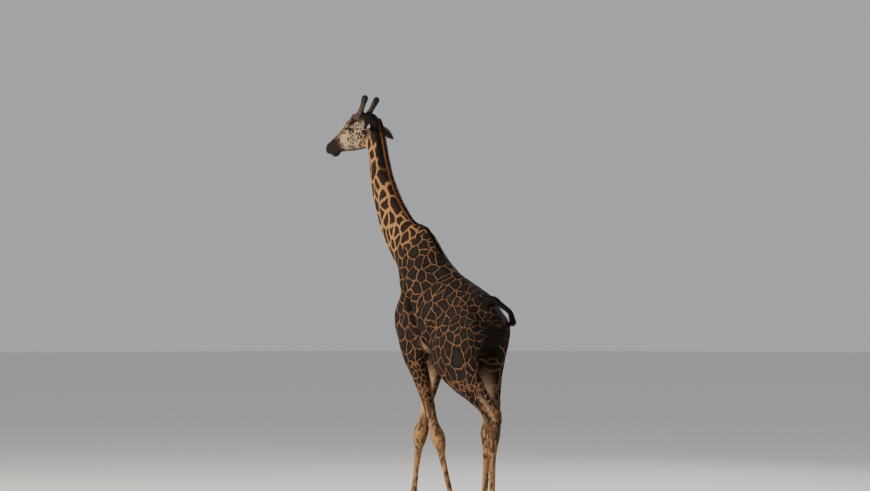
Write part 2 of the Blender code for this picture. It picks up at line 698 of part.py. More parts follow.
def make_feet(made):
    """Ends each leg at the crown of its hoof and sets two claws under it."""
    slope = (HOOF_HEIGHT - HEEL_HEIGHT) / HOOF_LENGTH
    for name, (rows, side) in LIMBS.items():
        last = rows[-1][0]
        middle = last[0] + PASTERN_BACK
        crown = (middle, side * last[1], crown_height(0.0))
        keep_side(made[name], crown, (-slope, 0.0, 1.0), keep_upper=True)
        for label, out in (("inner", -1), ("outer", 1)):
            left = side * (last[1] + out * CLAW_SPREAD)
            hoof = name.replace("leg", "hoof") + "_" + label
            as_node(claw_object(hoof, middle, left, -side * out), hoof, "hoof")


def horn_block(side, growth=0.0):
    """A block round the free part of a horn, square to its axis."""
    base, lean = horn_line(side)
    across = np.cross(lean, (0.0, 1.0, 0.0))
    across /= np.linalg.norm(across)
    other = np.cross(lean, across)
    start = base + lean * (HORN_LENGTH * HORN_CUT - growth)
    half = 2 * HORN_KNOB - 0.02 + growth
    corners = []
    for reach in (0.0, HORN_LENGTH):
        for first, second in ((-1, -1), (-1, 1), (1, 1), (1, -1)):
            corners.append(start + lean * reach + half * (first * across + second * other))
    faces = [(0, 1, 2, 3), (7, 6, 5, 4), (0, 4, 5, 1), (1, 5, 6, 2), (2, 6, 7, 3), (3, 7, 4, 0)]
    mesh = bpy.data.meshes.new("horn_block")
    mesh.from_pydata([tuple(corner) for corner in head_place(corners)], [], faces)
    return finished_object("horn_block", mesh)


def make_head(made):
    """Head, horns, eyes and ears."""
    forms = [head_form(), trunk_object(first_row=11), horn_form(1), horn_form(-1)]
    for label, (centre, radii) in HEAD_LUMPS.items():
        for side in ((1, -1) if centre[1] else (1,)):
            place = (centre[0], side * centre[1], centre[2])
            forms.append(blob(label, place, radii))
    head = fused("head", forms, HEAD_GRAIN, 3, HEAD_TRIANGLES)
    keep_side(head, *NECK_TOP, keep_upper=True)
    for side, label in ((1, "left"), (-1, "right")):
        horn = copy_of(head)
        cut(horn, horn_block(side), "INTERSECT")
        keep_largest(horn)
        as_node(horn, "horn_" + label, "horn")
    for side, label in ((1, "left"), (-1, "right")):
        cut(head, horn_block(side, GAP))
        place = (EYE_ALONG, side * EYE_OUT, EYE_UP)
        cut(head, blob("socket", place, (EYE_RADIUS + GROWTH,) * 3, segments=14))
        eye = blob("eye_" + label, place, (EYE_RADIUS,) * 3, segments=14)
        as_node(eye, "eye_" + label, "eye")
    keep_largest(head)
    made["head"] = as_node(head, "head", "hide")
    for side, label in ((1, "left"), (-1, "right")):
        ear = ear_form("ear_" + label, side, *EARS[label])
        cut(ear, copy_of(head, GROWTH), solver="MANIFOLD")
        keep_largest(ear)
        as_node(ear, "ear_" + label, "hide")


def make_mane_and_tail(made):
    """The crest on the neck, and the tail with its tuft, each trimmed where it meets the flesh."""
    mane = mane_form()
    for name in ("neck", "trunk", "head"):
        cut(mane, copy_of(made[name], GROWTH))
    keep_largest(mane)
    as_node(mane, "mane", "mane")
    tail = tube_object("tail", TAIL_ROWS, 0, TAIL_TUFT_ROW)
    cut(tail, copy_of(made["trunk"], GROWTH))
    cut(tail, copy_of(made["hindleg_right"], GROWTH))
    keep_largest(tail)
    as_node(tail, "tail", "hide")
    tuft = tube_object("tail_tuft", TAIL_ROWS, TAIL_TUFT_ROW, len(TAIL_ROWS) - 1)
    as_node(tuft, "tail_tuft", "tail_hair")


def centre_on_floor():
    """Moves every sub-part alike, so that the model's box stands centred on the origin."""
    low = Vector((math.inf,) * 3)
    high = Vector((-math.inf,) * 3)
    for item in bpy.data.objects:
        for vert in item.data.vertices:
            low = Vector(map(min, low, vert.co))
            high = Vector(map(max, high, vert.co))
    shift = Matrix.Translation((-(low.x + high.x) / 2, -(low.y + high.y) / 2, -low.z))
    for item in bpy.data.objects:
        item.data.transform(shift)
        item.data.shade_smooth()


def main():
    clear_scene()
    made = make_flesh()
    make_feet(made)
    make_head(made)
    make_mane_and_tail(made)
    centre_on_floor()


main()
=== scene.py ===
"""A still, life-size giraffe bull: skin with its markings, coat, mane, tail, eyes, horns and hooves.

Body directions are forward, left and up, in metres; the animal faces -Y and its left is +X.
Head directions are along (poll to lip), left and up. Surfaces are computed as whole arrays.
"""
import math

import bmesh
import bpy
import numpy as np
from mathutils import Matrix, Vector
from mathutils.bvhtree import BVHTree
from mathutils.kdtree import KDTree


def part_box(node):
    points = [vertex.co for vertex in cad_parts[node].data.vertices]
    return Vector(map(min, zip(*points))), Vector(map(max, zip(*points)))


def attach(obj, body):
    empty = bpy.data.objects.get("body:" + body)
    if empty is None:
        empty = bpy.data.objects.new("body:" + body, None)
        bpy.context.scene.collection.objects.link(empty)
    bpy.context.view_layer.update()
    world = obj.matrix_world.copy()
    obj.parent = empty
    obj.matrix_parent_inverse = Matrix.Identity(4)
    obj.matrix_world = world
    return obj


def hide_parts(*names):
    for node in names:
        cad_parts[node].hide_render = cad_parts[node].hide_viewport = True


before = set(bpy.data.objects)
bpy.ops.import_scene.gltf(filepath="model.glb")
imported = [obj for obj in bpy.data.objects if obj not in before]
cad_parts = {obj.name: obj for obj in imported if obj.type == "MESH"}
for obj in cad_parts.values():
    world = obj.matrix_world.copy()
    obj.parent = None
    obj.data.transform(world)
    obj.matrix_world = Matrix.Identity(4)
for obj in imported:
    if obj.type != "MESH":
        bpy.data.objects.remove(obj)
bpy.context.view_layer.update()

bl_info = {
    "name": "Giraffe Bull",
    "version": (1, 0, 0),
    "blender": (4, 5, 0),
    "location": "View3D > Sidebar > Giraffe",
    "description": "Dresses a giraffe's solids with skin, markings, coat, mane, tail, eyes and hooves",
    "category": "Add Mesh",
}

FLESH = ("head", "neck", "trunk", "foreleg_left", "foreleg_right", "hindleg_left", "hindleg_right")
LEGS = FLESH[3:]
FLESH_AND_EYES = (*FLESH, "eye_left", "eye_right")
EARS = {
    1: ((0.062, 0.084, -0.034), (-0.32, 0.68, -0.65), (-0.66, 0.30, 0.60)),
    -1: ((0.050, 0.084, -0.080), (0.08, 0.86, -0.51), (0.54, 0.29, 0.56)),
}
HEAD_POLL = (1.822, 0.0, 4.752)
HEAD_TURN = (17.0, 25.5, 4.0)         # yaw, pitch down and roll, in degrees
EYE_PLACE = (0.331, 0.094, 0.004)
EYE_RADIUS = 0.031
EYE_SLANT = math.radians(14)          # the eye's front corner lies above the head's own line
LID = 0.0042                          # the lids lie this far off the ball
LID_RIM = 0.0030                      # and stand up by this much more along their edges
# The slit of the nostril and the line of the mouth, in head directions.
NOSTRIL = ((0.792, 0.040, -0.006), (0.780, 0.050, 0.010), (0.757, 0.052, 0.020), (0.735, 0.047, 0.018))
MOUTH = (
    (0.850, 0.0, -0.062), (0.822, 0.036, -0.076), (0.775, 0.056, -0.088),
    (0.715, 0.062, -0.098), (0.655, 0.062, -0.098), (0.620, 0.061, -0.090),
)
EAR_LENGTH = 0.283
EAR_RINGS, EAR_SPREAD = 34, 17
HORN_ROOT = (0.184, 0.062, 0.057)
HORN_LEAN = (-0.794, 0.134, 0.593)
HORN_LENGTH = 0.314
HORN_RINGS, HORN_SIDES = 64, 40
EYE_RINGS, EYE_SIDES = 40, 56
CLAW_SIDES = 56
FLOOR_SIDES = 96
# The line through the middle of trunk and neck, forward and up, from the rump to the poll.
SPINE = (
    (-0.885, 2.21), (-0.540, 2.335), (-0.300, 2.35), (-0.040, 2.372), (0.205, 2.422),
    (0.430, 2.528), (0.620, 2.717), (0.748, 2.970), (0.893, 3.150), (1.130, 3.298),
    (1.389, 3.555), (1.593, 3.915), (1.697, 4.223), (1.763, 4.455), (1.838, 4.646),
)
HALF_WIDTH = 0.42                     # widest half of the trunk
NECK_FROM = 2.10                      # length along that line where the neck begins
# The top line of withers and neck, forward and up, from the mane's first hair to the poll.
CREST = (
    (0.330, 3.115), (0.465, 3.235), (0.610, 3.380), (0.755, 3.435), (0.950, 3.485),
    (1.200, 3.680), (1.428, 3.985), (1.552, 4.272), (1.628, 4.505), (1.706, 4.732),
)
# The tail: forward, left, up and radius. The long hair begins at row TUFT_ROW.
TAIL = (
    (-0.600, 0.000, 2.540, 0.058), (-0.745, -0.010, 2.572, 0.041), (-0.820, -0.046, 2.525, 0.031),
    (-0.895, -0.120, 2.440, 0.027), (-0.835, -0.190, 2.360, 0.032), (-0.705, -0.285, 2.315, 0.031),
    (-0.525, -0.420, 2.330, 0.026), (-0.360, -0.460, 2.285, 0.024), (-0.250, -0.472, 2.170, 0.023),
    (-0.170, -0.478, 2.070, 0.023), (-0.130, -0.482, 1.960, 0.036), (-0.110, -0.482, 1.820, 0.052),
    (-0.105, -0.476, 1.650, 0.054), (-0.110, -0.468, 1.490, 0.038), (-0.116, -0.462, 1.390, 0.012),
)
TUFT_ROW = 9


# ---------------------------------------------------------------- places and directions

def turn_about(axis, degrees):
    return np.array(Matrix.Rotation(math.radians(degrees), 3, axis))


BODY_TO_WORLD = np.array(((0.0, 1.0, 0.0), (-1.0, 0.0, 0.0), (0.0, 0.0, 1.0)))
HEAD_AXES = BODY_TO_WORLD @ turn_about("Z", HEAD_TURN[0]) @ turn_about("Y", HEAD_TURN[1])
HEAD_AXES = HEAD_AXES @ turn_about("X", HEAD_TURN[2])


def middle_of(node):
    low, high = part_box(node)
    return (np.array(low) + np.array(high)) / 2


def shift_of_model():
    """The solids' eyes say how far the whole model was moved when it was centred on its floor."""
    found = (middle_of("eye_left") + middle_of("eye_right")) / 2
    between = np.array((EYE_PLACE[0], 0.0, EYE_PLACE[2]))
    return found - (BODY_TO_WORLD @ np.array(HEAD_POLL) + HEAD_AXES @ between)


SHIFT = shift_of_model()


def from_body(points):
    """Body directions to the world."""
    return np.asarray(points, float) @ BODY_TO_WORLD.T + SHIFT


def to_body(points):
    return (np.asarray(points, float) - SHIFT) @ BODY_TO_WORLD


def from_head(points):
    """Head directions to the world."""
    return np.asarray(points, float) @ HEAD_AXES.T + BODY_TO_WORLD @ np.array(HEAD_POLL) + SHIFT


def to_head(points):
    return (np.asarray(points, float) - SHIFT - BODY_TO_WORLD @ np.array(HEAD_POLL)) @ HEAD_AXES


def unit(vectors):
    return vectors / np.maximum(np.linalg.norm(vectors, axis=-1, keepdims=True), 1e-12)


def ease(values, start, end):
    """Rises smoothly from 0 at start to 1 at end: 3t^2 - 2t^3. It falls where start is the greater."""
    t = np.clip((values - start) / (end - start), 0, 1)
    return t * t * (3 - 2 * t)


def bump_at(points, centre, radii):
    """1 at the centre, falling off as a bell with the given radii."""
    return np.exp(-(((points - np.array(centre)) / np.array(radii)) ** 2).sum(axis=-1))


def bell(distance, width):
    """1 at no distance, falling off as a bell with the given width."""
    return np.exp(-(distance / width) ** 2)


def both_sides(points):
    """Points with the right side folded onto the left one."""
    return np.stack((points[:, 0], np.abs(points[:, 1]), points[:, 2]), axis=-1)


def curve_through(rows, at):
    """A Catmull-Rom curve through the rows, read at places counted in rows."""
    rows = np.asarray(rows, float)
    padded = np.vstack((2 * rows[0] - rows[1], rows, 2 * rows[-1] - rows[-2]))
    at = np.asarray(at, float)
    index = np.clip(at.astype(int), 0, len(rows) - 2)
    t = (at - index)[:, None]
    before, start, end, after = (padded[index + k] for k in range(4))
    return 0.5 * (2 * start + (end - before) * t + (2 * before - 5 * start + 4 * end - after) * t ** 2
                  + (3 * start - before - 3 * end + after) * t ** 3)


def near_path(points, path, count=120):
    """Distance of each point to a smooth path, and the share of the path where it is nearest."""
    samples = curve_through(path, np.linspace(0, len(path) - 1, count))
    best = np.full(len(points), np.inf)
    share = np.zeros(len(points))
    for index, sample in enumerate(samples):
        distance = np.linalg.norm(points - sample, axis=1)
        closer = distance < best
        best[closer] = distance[closer]
        share[closer] = index / (count - 1)
    return best, share


def ripple(points, size, seed, waves=7):
    """Smooth unevenness between -1 and 1: plane waves of about one length in random directions."""
    rng = np.random.default_rng(seed)
    total = np.zeros(len(points))
    for _ in range(waves):
        direction = unit(rng.normal(size=3)) * rng.uniform(0.7, 1.4)
        total += np.sin(points @ direction * (2 * math.pi / size) + rng.uniform(0, 2 * math.pi))
    return total / math.sqrt(waves) / 1.5


# ---------------------------------------------------------------- meshes

def loft_faces(rings, sides, closed=True):
    """Quads between neighbouring rings; with closed, each ring's last point joins its first."""
    ring, side = np.meshgrid(np.arange(rings - 1), np.arange(sides if closed else sides - 1), indexing="ij")
    after = (side + 1) % sides
    quads = np.stack((ring * sides + side, ring * sides + after,
                      (ring + 1) * sides + after, (ring + 1) * sides + side), axis=-1)
    return quads.reshape(-1, 4)


def closed_loft(rings):
    """Points and faces of rings joined by quads, with a fan to a middle point at both ends."""
    count, sides = rings.shape[:2]
    points = np.vstack((rings.reshape(-1, 3), rings[0].mean(axis=0), rings[-1].mean(axis=0)))
    side = np.arange(sides)
    after = (side + 1) % sides
    first = np.stack((np.full(sides, count * sides), after, side), axis=-1)
    last = np.stack((np.full(sides, count * sides + 1), (count - 1) * sides + side,
                     (count - 1) * sides + after), axis=-1)
    return points, [loft_faces(count, sides), first, last]


def joined(parts):
    """Several (points, face arrays) as one."""
    points, faces, offset = [], [], 0
    for part_points, part_faces in parts:
        points.append(part_points)
        faces += [block + offset for block in part_faces]
        offset += len(part_points)
    return np.vstack(points), faces


def mesh_from(name, points, faces):
    """A mesh from a point array and a list of face arrays, each with one count of corners."""
    mesh = bpy.data.meshes.new(name)
    corners = np.concatenate([block.reshape(-1) for block in faces]).astype(np.int32)
    totals = np.concatenate([np.full(len(block), block.shape[1]) for block in faces])
    starts = np.concatenate(((0,), np.cumsum(totals)[:-1]))
    mesh.vertices.add(len(points))
    mesh.vertices.foreach_set("co", np.asarray(points, np.float32).reshape(-1))
    mesh.loops.add(len(corners))
    mesh.loops.foreach_set("vertex_index", corners)
    mesh.polygons.add(len(totals))
    mesh.polygons.foreach_set("loop_start", starts.astype(np.int32))
    mesh.polygons.foreach_set("loop_total", totals.astype(np.int32))
    mesh.update(calc_edges=True)
    mesh.shade_smooth()
    return mesh


def outward(mesh):
    """Turns a closed mesh's faces outwards."""
    work = bmesh.new()
    work.from_mesh(mesh)
    bmesh.ops.recalc_face_normals(work, faces=work.faces)
    work.to_mesh(mesh)
    work.free()
    return mesh


def write_field(mesh, name, values):
    """Keeps one number or one vector for each point under a name that the materials read."""
    values = np.asarray(values, np.float32)
    if values.ndim == 1:
        mesh.attributes.new(name, "FLOAT", "POINT").data.foreach_set("value", values)
    else:
        mesh.attributes.new(name, "FLOAT_VECTOR", "POINT").data.foreach_set("vector", values.reshape(-1))


def first_of_three(values):
    return np.stack((values, values * 0, values * 0), axis=-1)


def write_uv(mesh, places):
    """Gives each corner the place of its point on the bake's sheet."""
    layer = mesh.uv_layers.new(name="OFBake")
    corners = np.empty(len(mesh.loops), np.int32)
    mesh.loops.foreach_get("vertex_index", corners)
    layer.data.foreach_set("uv", np.asarray(places, np.float32)[corners].reshape(-1))


def read_points(mesh, field="co"):
    values = np.empty(len(mesh.vertices) * 3, np.float32)
    mesh.vertices.foreach_get(field, values)
    return values.reshape(-1, 3).astype(float)


def new_piece(name, mesh, material, replaced=()):
    """Links a finished piece, lets it ride on the body and stand for the nodes that it covers."""
    piece = bpy.data.objects.new(name, mesh)
    bpy.context.scene.collection.objects.link(piece)
    mesh.materials.append(material)
    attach(piece, "root")
    if replaced:
        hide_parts(*replaced)
    return piece


def merged_copy(nodes):
    """One mesh of the solids' copies, with their doubled points merged."""
    work = bmesh.new()
    for node in nodes:
        work.from_mesh(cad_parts[node].data)
    bmesh.ops.remove_doubles(work, verts=work.verts, dist=1e-5)
    mesh = bpy.data.meshes.new("copy")
    work.to_mesh(mesh)
    work.free()
    return mesh


def evaluated(mesh, settings):
    """The mesh after one modifier with the given type and values."""
    holder = bpy.data.objects.new("holder", mesh)
    bpy.context.scene.collection.objects.link(holder)
    kind, values = settings
    modifier = holder.modifiers.new("work", kind)
    for key, value in values.items():
        setattr(modifier, key, value)
    graph = bpy.context.evaluated_depsgraph_get()
    made = bpy.data.meshes.new_from_object(holder.evaluated_get(graph))
    bpy.data.objects.remove(holder, do_unlink=True)
    return made


def edge_pairs(mesh):
    pairs = np.empty(len(mesh.edges) * 2, np.int32)
    mesh.edges.foreach_get("vertices", pairs)
    return pairs.reshape(-1, 2)


def neighbour_mean(values, pairs):
    """The mean of each point's neighbours along the edges."""
    count = len(values)
    ends = np.concatenate((pairs[:, 0], pairs[:, 1]))
    others = np.concatenate((pairs[:, 1], pairs[:, 0]))
    degree = np.maximum(np.bincount(ends, minlength=count), 1)
    return np.stack([np.bincount(ends, weights=values[others, k], minlength=count) / degree
                     for k in range(values.shape[1])], axis=-1)


def smoothed(points, pairs, rounds, strength):
    """Laplacian steps, each followed by a slightly larger step back so that nothing shrinks."""
    for _ in range(rounds):
        for step in (0.5, -0.52):
            change = neighbour_mean(points, pairs) - points
            points = points + change * step * strength[:, None]
    return points


# ---------------------------------------------------------------- the body's own coordinates

SPINE_LINE = curve_through(SPINE, np.linspace(0, len(SPINE) - 1, 500))
SPINE_STEP = np.linalg.norm(np.diff(SPINE_LINE, axis=0), axis=1)
SPINE_LENGTH = np.concatenate(((0.0,), np.cumsum(SPINE_STEP)))
SPINE_TANGENT = unit(np.gradient(SPINE_LINE, axis=0))


def along_spine(body_points):
    """Length along the spine, and height off it, of the nearest place, for body points."""
    flat = body_points[:, (0, 2)]
    nearest = np.empty(len(flat), int)
    for start in range(0, len(flat), 20000):
        block = flat[start:start + 20000]
        nearest[start:start + 20000] = ((block[:, None] - SPINE_LINE[None]) ** 2).sum(axis=2).argmin(axis=1)
    offset = flat - SPINE_LINE[nearest]
    tangent = SPINE_TANGENT[nearest]
    length = SPINE_LENGTH[nearest] + (offset * tangent).sum(axis=1)
    height = offset[:, 1] * tangent[:, 0] - offset[:, 0] * tangent[:, 1]
    return length, height, tangent


def leg_sections():
    """For each leg, levels with the middle and the half width and half length of the solid there."""
    sections = {}
    levels = np.arange(0.10, 2.30, 0.10)
    for name in LEGS:
        points = read_points(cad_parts[name].data)
        rows = []
        for level in levels:
            near = points[np.abs(points[:, 2] - level) < 0.09]
            low, high = near.min(axis=0), near.max(axis=0)
            rows.append(np.concatenate(((low + high)[:2] / 2, (high - low)[:2] / 2)))
        sections[name] = (levels, np.array(rows))
    return sections


LEG_SECTIONS = leg_sections()


def section_at(name, heights):
    levels, rows = LEG_SECTIONS[name]
    return np.stack([np.interp(heights, levels, rows[:, k]) for k in range(4)], axis=-1)


def axis_at(name, heights):
    return section_at(name, heights)[..., :2]


def side_of(name):
    return 1 if name.endswith("left") else -1


def ahead_in_leg(rows, points):
    """How far forward each point lies in its leg: -1 at the back and 1 at the front."""
    return (rows[:, 1] - points[:, 1]) / rows[:, 3]


def spine_sections():
    """Along the spine, levels with the half depth and half width of trunk and neck."""
    points = np.vstack([read_points(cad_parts[name].data) for name in ("neck", "trunk")])
    body = to_body(points)
    length, height, _ = along_spine(body)
    levels = np.linspace(0.1, SPINE_LENGTH[-1], 26)
    rows = []
    for level in levels:
        near = np.abs(length - level) < 0.12
        rows.append((np.percentile(np.abs(height[near]), 92), np.percentile(np.abs(body[near, 1]), 97)))
    return levels, np.array(rows)


SPINE_SECTIONS = spine_sections()


def angle_from_crest(length, height, aside):
    """The ellipse angle on trunk and neck: 0 at the crest, pi at the belly or throat."""
    levels, rows = SPINE_SECTIONS
    deep, wide = (np.interp(length, levels, rows[:, k]) for k in range(2))
    return np.arctan2(np.abs(aside) / wide, height / deep)


def shares_of_nodes(points, pairs, rounds):
    """How much each point belongs to each flesh node: the nearest node, blurred along the mesh."""
    shares = np.zeros((len(points), len(FLESH)))
    sizes = [len(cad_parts[name].data.polygons) for name in FLESH]
    tree = KDTree(sum(sizes))
    owner = []
    for index, name in enumerate(FLESH):
        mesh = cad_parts[name].data
        centres = np.empty(len(mesh.polygons) * 3, np.float32)
        mesh.polygons.foreach_get("center", centres)
        for centre in centres.reshape(-1, 3):
            tree.insert(centre, len(owner))
            owner.append(index)
    tree.balance()
    owners = [owner[tree.find(point)[1]] for point in points]
    shares[np.arange(len(points)), owners] = 1
    for _ in range(rounds):
        shares = 0.5 * shares + 0.5 * neighbour_mean(shares, pairs)
    return shares


def hide_chart(points, normals, pairs, shares):
    """Places in metres on the hide opened flat to one side: (forward, up, 0).

    The start is the side view. Where the surface turns away by an angle a about a half width r, the
    place is pushed on by r (a - sin a), so that lengths stay true round the back and the legs. The
    rump is flat behind, so there the push is the distance in from HALF_WIDTH. Both sides are alike.
    The push is evened along the surface.
    """
    body = to_body(points)
    length, _, _ = along_spine(body)
    facing = normals @ BODY_TO_WORLD
    for _ in range(30):
        facing = neighbour_mean(facing, pairs)
    away = unit(facing[:, (0, 2)] + 1e-6)
    levels, rows = SPINE_SECTIONS
    wide = np.clip(np.interp(np.maximum(length, 0.55), levels, rows[:, 1]), 0.10, HALF_WIDTH)
    turn = np.arccos(np.clip(np.abs(body[:, 1]) / wide, 0, 1))
    rump = np.clip(-away[:, 0], 0, 1) * ease(length, 1.1, 0.6)
    round_way = wide * (turn - np.sin(turn))
    flat_way = np.clip(HALF_WIDTH - np.abs(body[:, 1]), 0, None)
    push = (round_way + rump * (flat_way - round_way))[:, None] * away
    for name in LEGS:
        rows = section_at(name, points[:, 2])
        out = side_of(name) * (points[:, 0] - rows[:, 0]) / rows[:, 2]
        ahead = ahead_in_leg(rows, points)
        turn = np.arctan2(np.abs(ahead), out)
        reach = (rows[:, 2] + rows[:, 3]) / 2 * (turn - np.sin(np.minimum(turn, math.pi / 2)))
        leg = np.stack((reach * np.clip(2 * ahead, -1, 1), 0 * reach), axis=-1)
        push += shares[:, FLESH.index(name), None] * (leg - push)
    for _ in range(40):
        push = 0.5 * push + 0.5 * neighbour_mean(push, pairs)
    chart = body[:, (0, 2)] + push
    return np.concatenate((chart, np.zeros((len(points), 1))), axis=1)


# Lines seen from the side: behind the shoulder, the hollow above the heel, and the heel's cord.
FOLD = ((0.53, 0, 2.74), (0.50, 0, 2.65), (0.455, 0, 2.51), (0.385, 0, 2.377),
        (0.30, 0, 2.247), (0.203, 0, 2.138), (0.11, 0, 2.03), (0.03, 0, 1.95))
HEEL_HOLLOW = ((-0.62, 0, 1.56), (-0.686, 0, 1.489), (-0.767, 0, 1.403), (-0.891, 0, 1.318),
               (-1.000, 0, 1.240))
HEEL_CORD = ((-0.816, 0, 1.552), (-0.899, 0, 1.474), (-0.997, 0, 1.389), (-1.083, 0, 1.262))
RIGHT_LEAD = 0.05                     # the right shoulder stands this far ahead of the left one


def beside(body):
    """Body points seen from the side, the right shoulder moved back onto the left one."""
    return np.stack((body[:, 0] - RIGHT_LEAD * (body[:, 1] < 0), 0 * body[:, 1], body[:, 2]), axis=-1)


def beside_hind(points, body, name):
    """The same for a hind leg, moved onto the left one level by level."""
    shift = axis_at("hindleg_left", points[:, 2])[:, 1] - axis_at(name, points[:, 2])[:, 1]
    return np.stack((body[:, 0] - shift, 0 * shift, body[:, 2]), axis=-1)


def dark_places(points, shares, body, head):
    """Where the coat is plain dark: nape, crown and brow; and painted shade in the fold behind the
    shoulder, the hollows above the heels and the cleft of the rump.
    """
    folded = both_sides(head)
    behind = head[:, 0] - 0.6 * np.clip(head[:, 2] + 0.02, 0, 0.12)
    nape = ease(behind, 0.17, 0.12) * ease(head[:, 2], -0.27, -0.18)
    crown = ease(head[:, 0], 0.30, 0.24) * ease(head[:, 2], 0.010, 0.035)
    brow = 1.4 * bump_at(folded, (0.272, 0.112, 0.046), (0.036, 0.05, 0.024))
    brow += 0.9 * bump_at(folded, (0.300, 0.110, -0.030), (0.055, 0.05, 0.018))
    length, height, _ = along_spine(body)
    around = angle_from_crest(length, height, body[:, 1])
    band = ease(around, 0.95, 0.65) * ease(length, 3.15, 3.55)
    dark = np.maximum(np.maximum(nape, band), np.maximum(crown, brow)) * ease(points[:, 2], 3.75, 4.05)
    # Painted shade along the fold behind the shoulder and in the hollows above the heels.
    fold, share = near_path(beside(body), FOLD)
    crease = bell(fold, 0.020) * ease(share, 0.0, 0.3) * ease(np.abs(body[:, 1]), 0.10, 0.20)
    for name in LEGS[2:]:
        hollow = on_heel(points, body, shares, name, HEEL_HOLLOW, 0.024)
        crease = np.maximum(crease, hollow)
    dark = np.maximum(dark, 0.75 * crease)
    # Painted shade in the cleft between the thighs.
    cleft = ease(np.abs(body[:, 1]), 0.22, 0.10) * ease(body[:, 0], -0.40, -0.52)
    cleft = cleft * ease(points[:, 2], 1.78, 1.95) * ease(points[:, 2], 2.42, 2.22)
    return np.maximum(dark, 0.8 * cleft)


def on_heel(points, body, shares, name, path, width):
    """How near each point of a hind leg is to one of the heel's lines."""
    distance, share = near_path(beside_hind(points, body, name), path)
    return bell(distance, width) * ease(share, 0.0, 0.3) * shares[:, FLESH.index(name)]


def pale_places(points, shares, body, head, face):
    """Where the coat is pale: inside the upper legs, partly as painted light, the belly and the cheeks; and
    a painted highlight along the heel's cords.
    """
    on_head = shares[:, 0]
    on_leg = shares[:, 3:].sum(axis=1)
    # Inside the upper legs: paler hair, partly painted light, kept to a strip at their inner front.
    inner = on_leg * ease(points[:, 2], 1.88, 1.48) * ease(points[:, 2], 1.12, 1.38)
    for name in LEGS:
        rows = section_at(name, points[:, 2])
        facing = side_of(name) * (rows[:, 0] - points[:, 0])
        bare = ease(facing, 0.01, 0.07) * ease(ahead_in_leg(rows, points), -0.98, -0.60)
        inner = np.where(shares[:, FLESH.index(name)] > 0.5, inner * bare, inner)
    length, height, _ = along_spine(body)
    belly = (1 - on_leg) * (1 - on_head) * ease(height, -0.30, -0.42) * ease(length, 2.0, 1.6)
    pale = np.clip(0.85 * inner + 0.4 * belly * ease(length, 0.8, 1.1), 0, 1)
    # Painted highlight along the heel's cords.
    cord = sum(on_heel(points, body, shares, name, HEEL_CORD, 0.018) for name in LEGS[2:])
    pale = np.maximum(pale, 0.32 * cord)
    folded = both_sides(head)
    cheek = 0.6 * ease(folded[:, 1], 0.015, 0.045) * ease(head[:, 2], 0.035, -0.020)
    cheek = cheek * ease(head[:, 0], 0.62, 0.50)
    cheek = np.maximum(cheek, 0.6 * bump_at(folded, (0.20, 0.11, 0.02), (0.06, 0.05, 0.04)))
    plain = bump_at(folded, (0.455, 0.08, -0.050), (0.055, 0.06, 0.055))
    plain += 0.8 * bump_at(folded, (0.345, 0.12, 0.050), (0.022, 0.05, 0.018))
    cheek = np.clip(cheek + 0.6 * plain, 0, 1)
    return pale * (1 - on_head) + cheek * face


def zones_of(points, shares):
    """Where the coat changes: (neck, lower leg, face) and (muzzle, dark, pale); dark and pale also hold
    painted shade and painted light.
    """
    body = to_body(points)
    head = to_head(points)
    length, _, _ = along_spine(body)
    neck = ease(length, NECK_FROM - 0.30, NECK_FROM + 0.35)
    on_head = shares[:, 0]
    on_leg = shares[:, 3:].sum(axis=1)
    on_hind = shares[:, 3:] @ np.array([name.startswith("hind") for name in LEGS], float)
    low = on_leg * np.clip((2.15 - 0.20 * on_hind - points[:, 2]) / 1.25, 0, 1)
    face = on_head * ease(head[:, 0] + 0.35 * np.clip(-head[:, 2], 0, 1), 0.07, 0.17)
    forward = head[:, 0] - 1.2 * np.clip(head[:, 2] + 0.02, 0, 0.08)
    muzzle = np.clip(on_head * ease(forward, 0.50, 0.62), 0, 1)
    dark = dark_places(points, shares, body, head)
    pale = pale_places(points, shares, body, head, face)
    return np.stack((neck, low, face), axis=-1), np.stack((muzzle, dark, pale), axis=-1)


def lie_of_coat(points, normals, shares):
    """The way the hair lies: back along head and trunk, down neck and legs, along the surface."""
    body = to_body(points)
    _, _, tangent = along_spine(body)
    backward = np.stack((-tangent[:, 0], np.zeros(len(points)), -tangent[:, 1] - 0.35), axis=-1)
    flow = unit(backward @ BODY_TO_WORLD.T)
    down = np.array((0.0, 0.25, -1.0))
    on_leg = shares[:, 3:].sum(axis=1, keepdims=True)
    flow = flow * (1 - on_leg) + unit(down) * on_leg
    head_flow = HEAD_AXES @ unit(np.array((-1.0, 0.0, -0.25)))
    on_head = shares[:, 0:1]
    flow = flow * (1 - on_head) + head_flow * on_head
    return unit(flow - normals * (flow * normals).sum(axis=1, keepdims=True))


def sheet_places(points, shares):
    """An unwrap of the skin: each region's cylinder is opened on a rectangle of its own."""
    body = to_body(points)
    head = to_head(points)
    length, height, _ = along_spine(body)
    around = np.arctan2(body[:, 1], height) / (2 * math.pi) + 0.5
    places = np.stack((0.01 + 0.47 * around, 0.01 + 0.98 * np.clip(length / 4.4, 0, 1)), axis=-1)
    owner = shares.argmax(axis=1)
    turn = np.arctan2(head[:, 1], head[:, 2] + 0.08) / (2 * math.pi) + 0.5
    up_head = np.clip((head[:, 0] + 0.15) / 1.05, 0, 1)
    on_head = np.stack((0.51 + 0.47 * turn, 0.74 + 0.24 * up_head), axis=-1)
    places[owner == 0] = on_head[owner == 0]
    for index, name in enumerate(LEGS):
        off = points[:, :2] - axis_at(name, points[:, 2])
        turn = np.arctan2(off[:, 0], off[:, 1]) / (2 * math.pi) + 0.5
        up_leg = np.clip(points[:, 2] / 2.5, 0, 1)
        leg = np.stack((0.51 + 0.12 * index + 0.11 * turn, 0.01 + 0.70 * up_leg), axis=-1)
        places[owner == index + 3] = leg[owner == index + 3]
    return places


# ---------------------------------------------------------------- skin

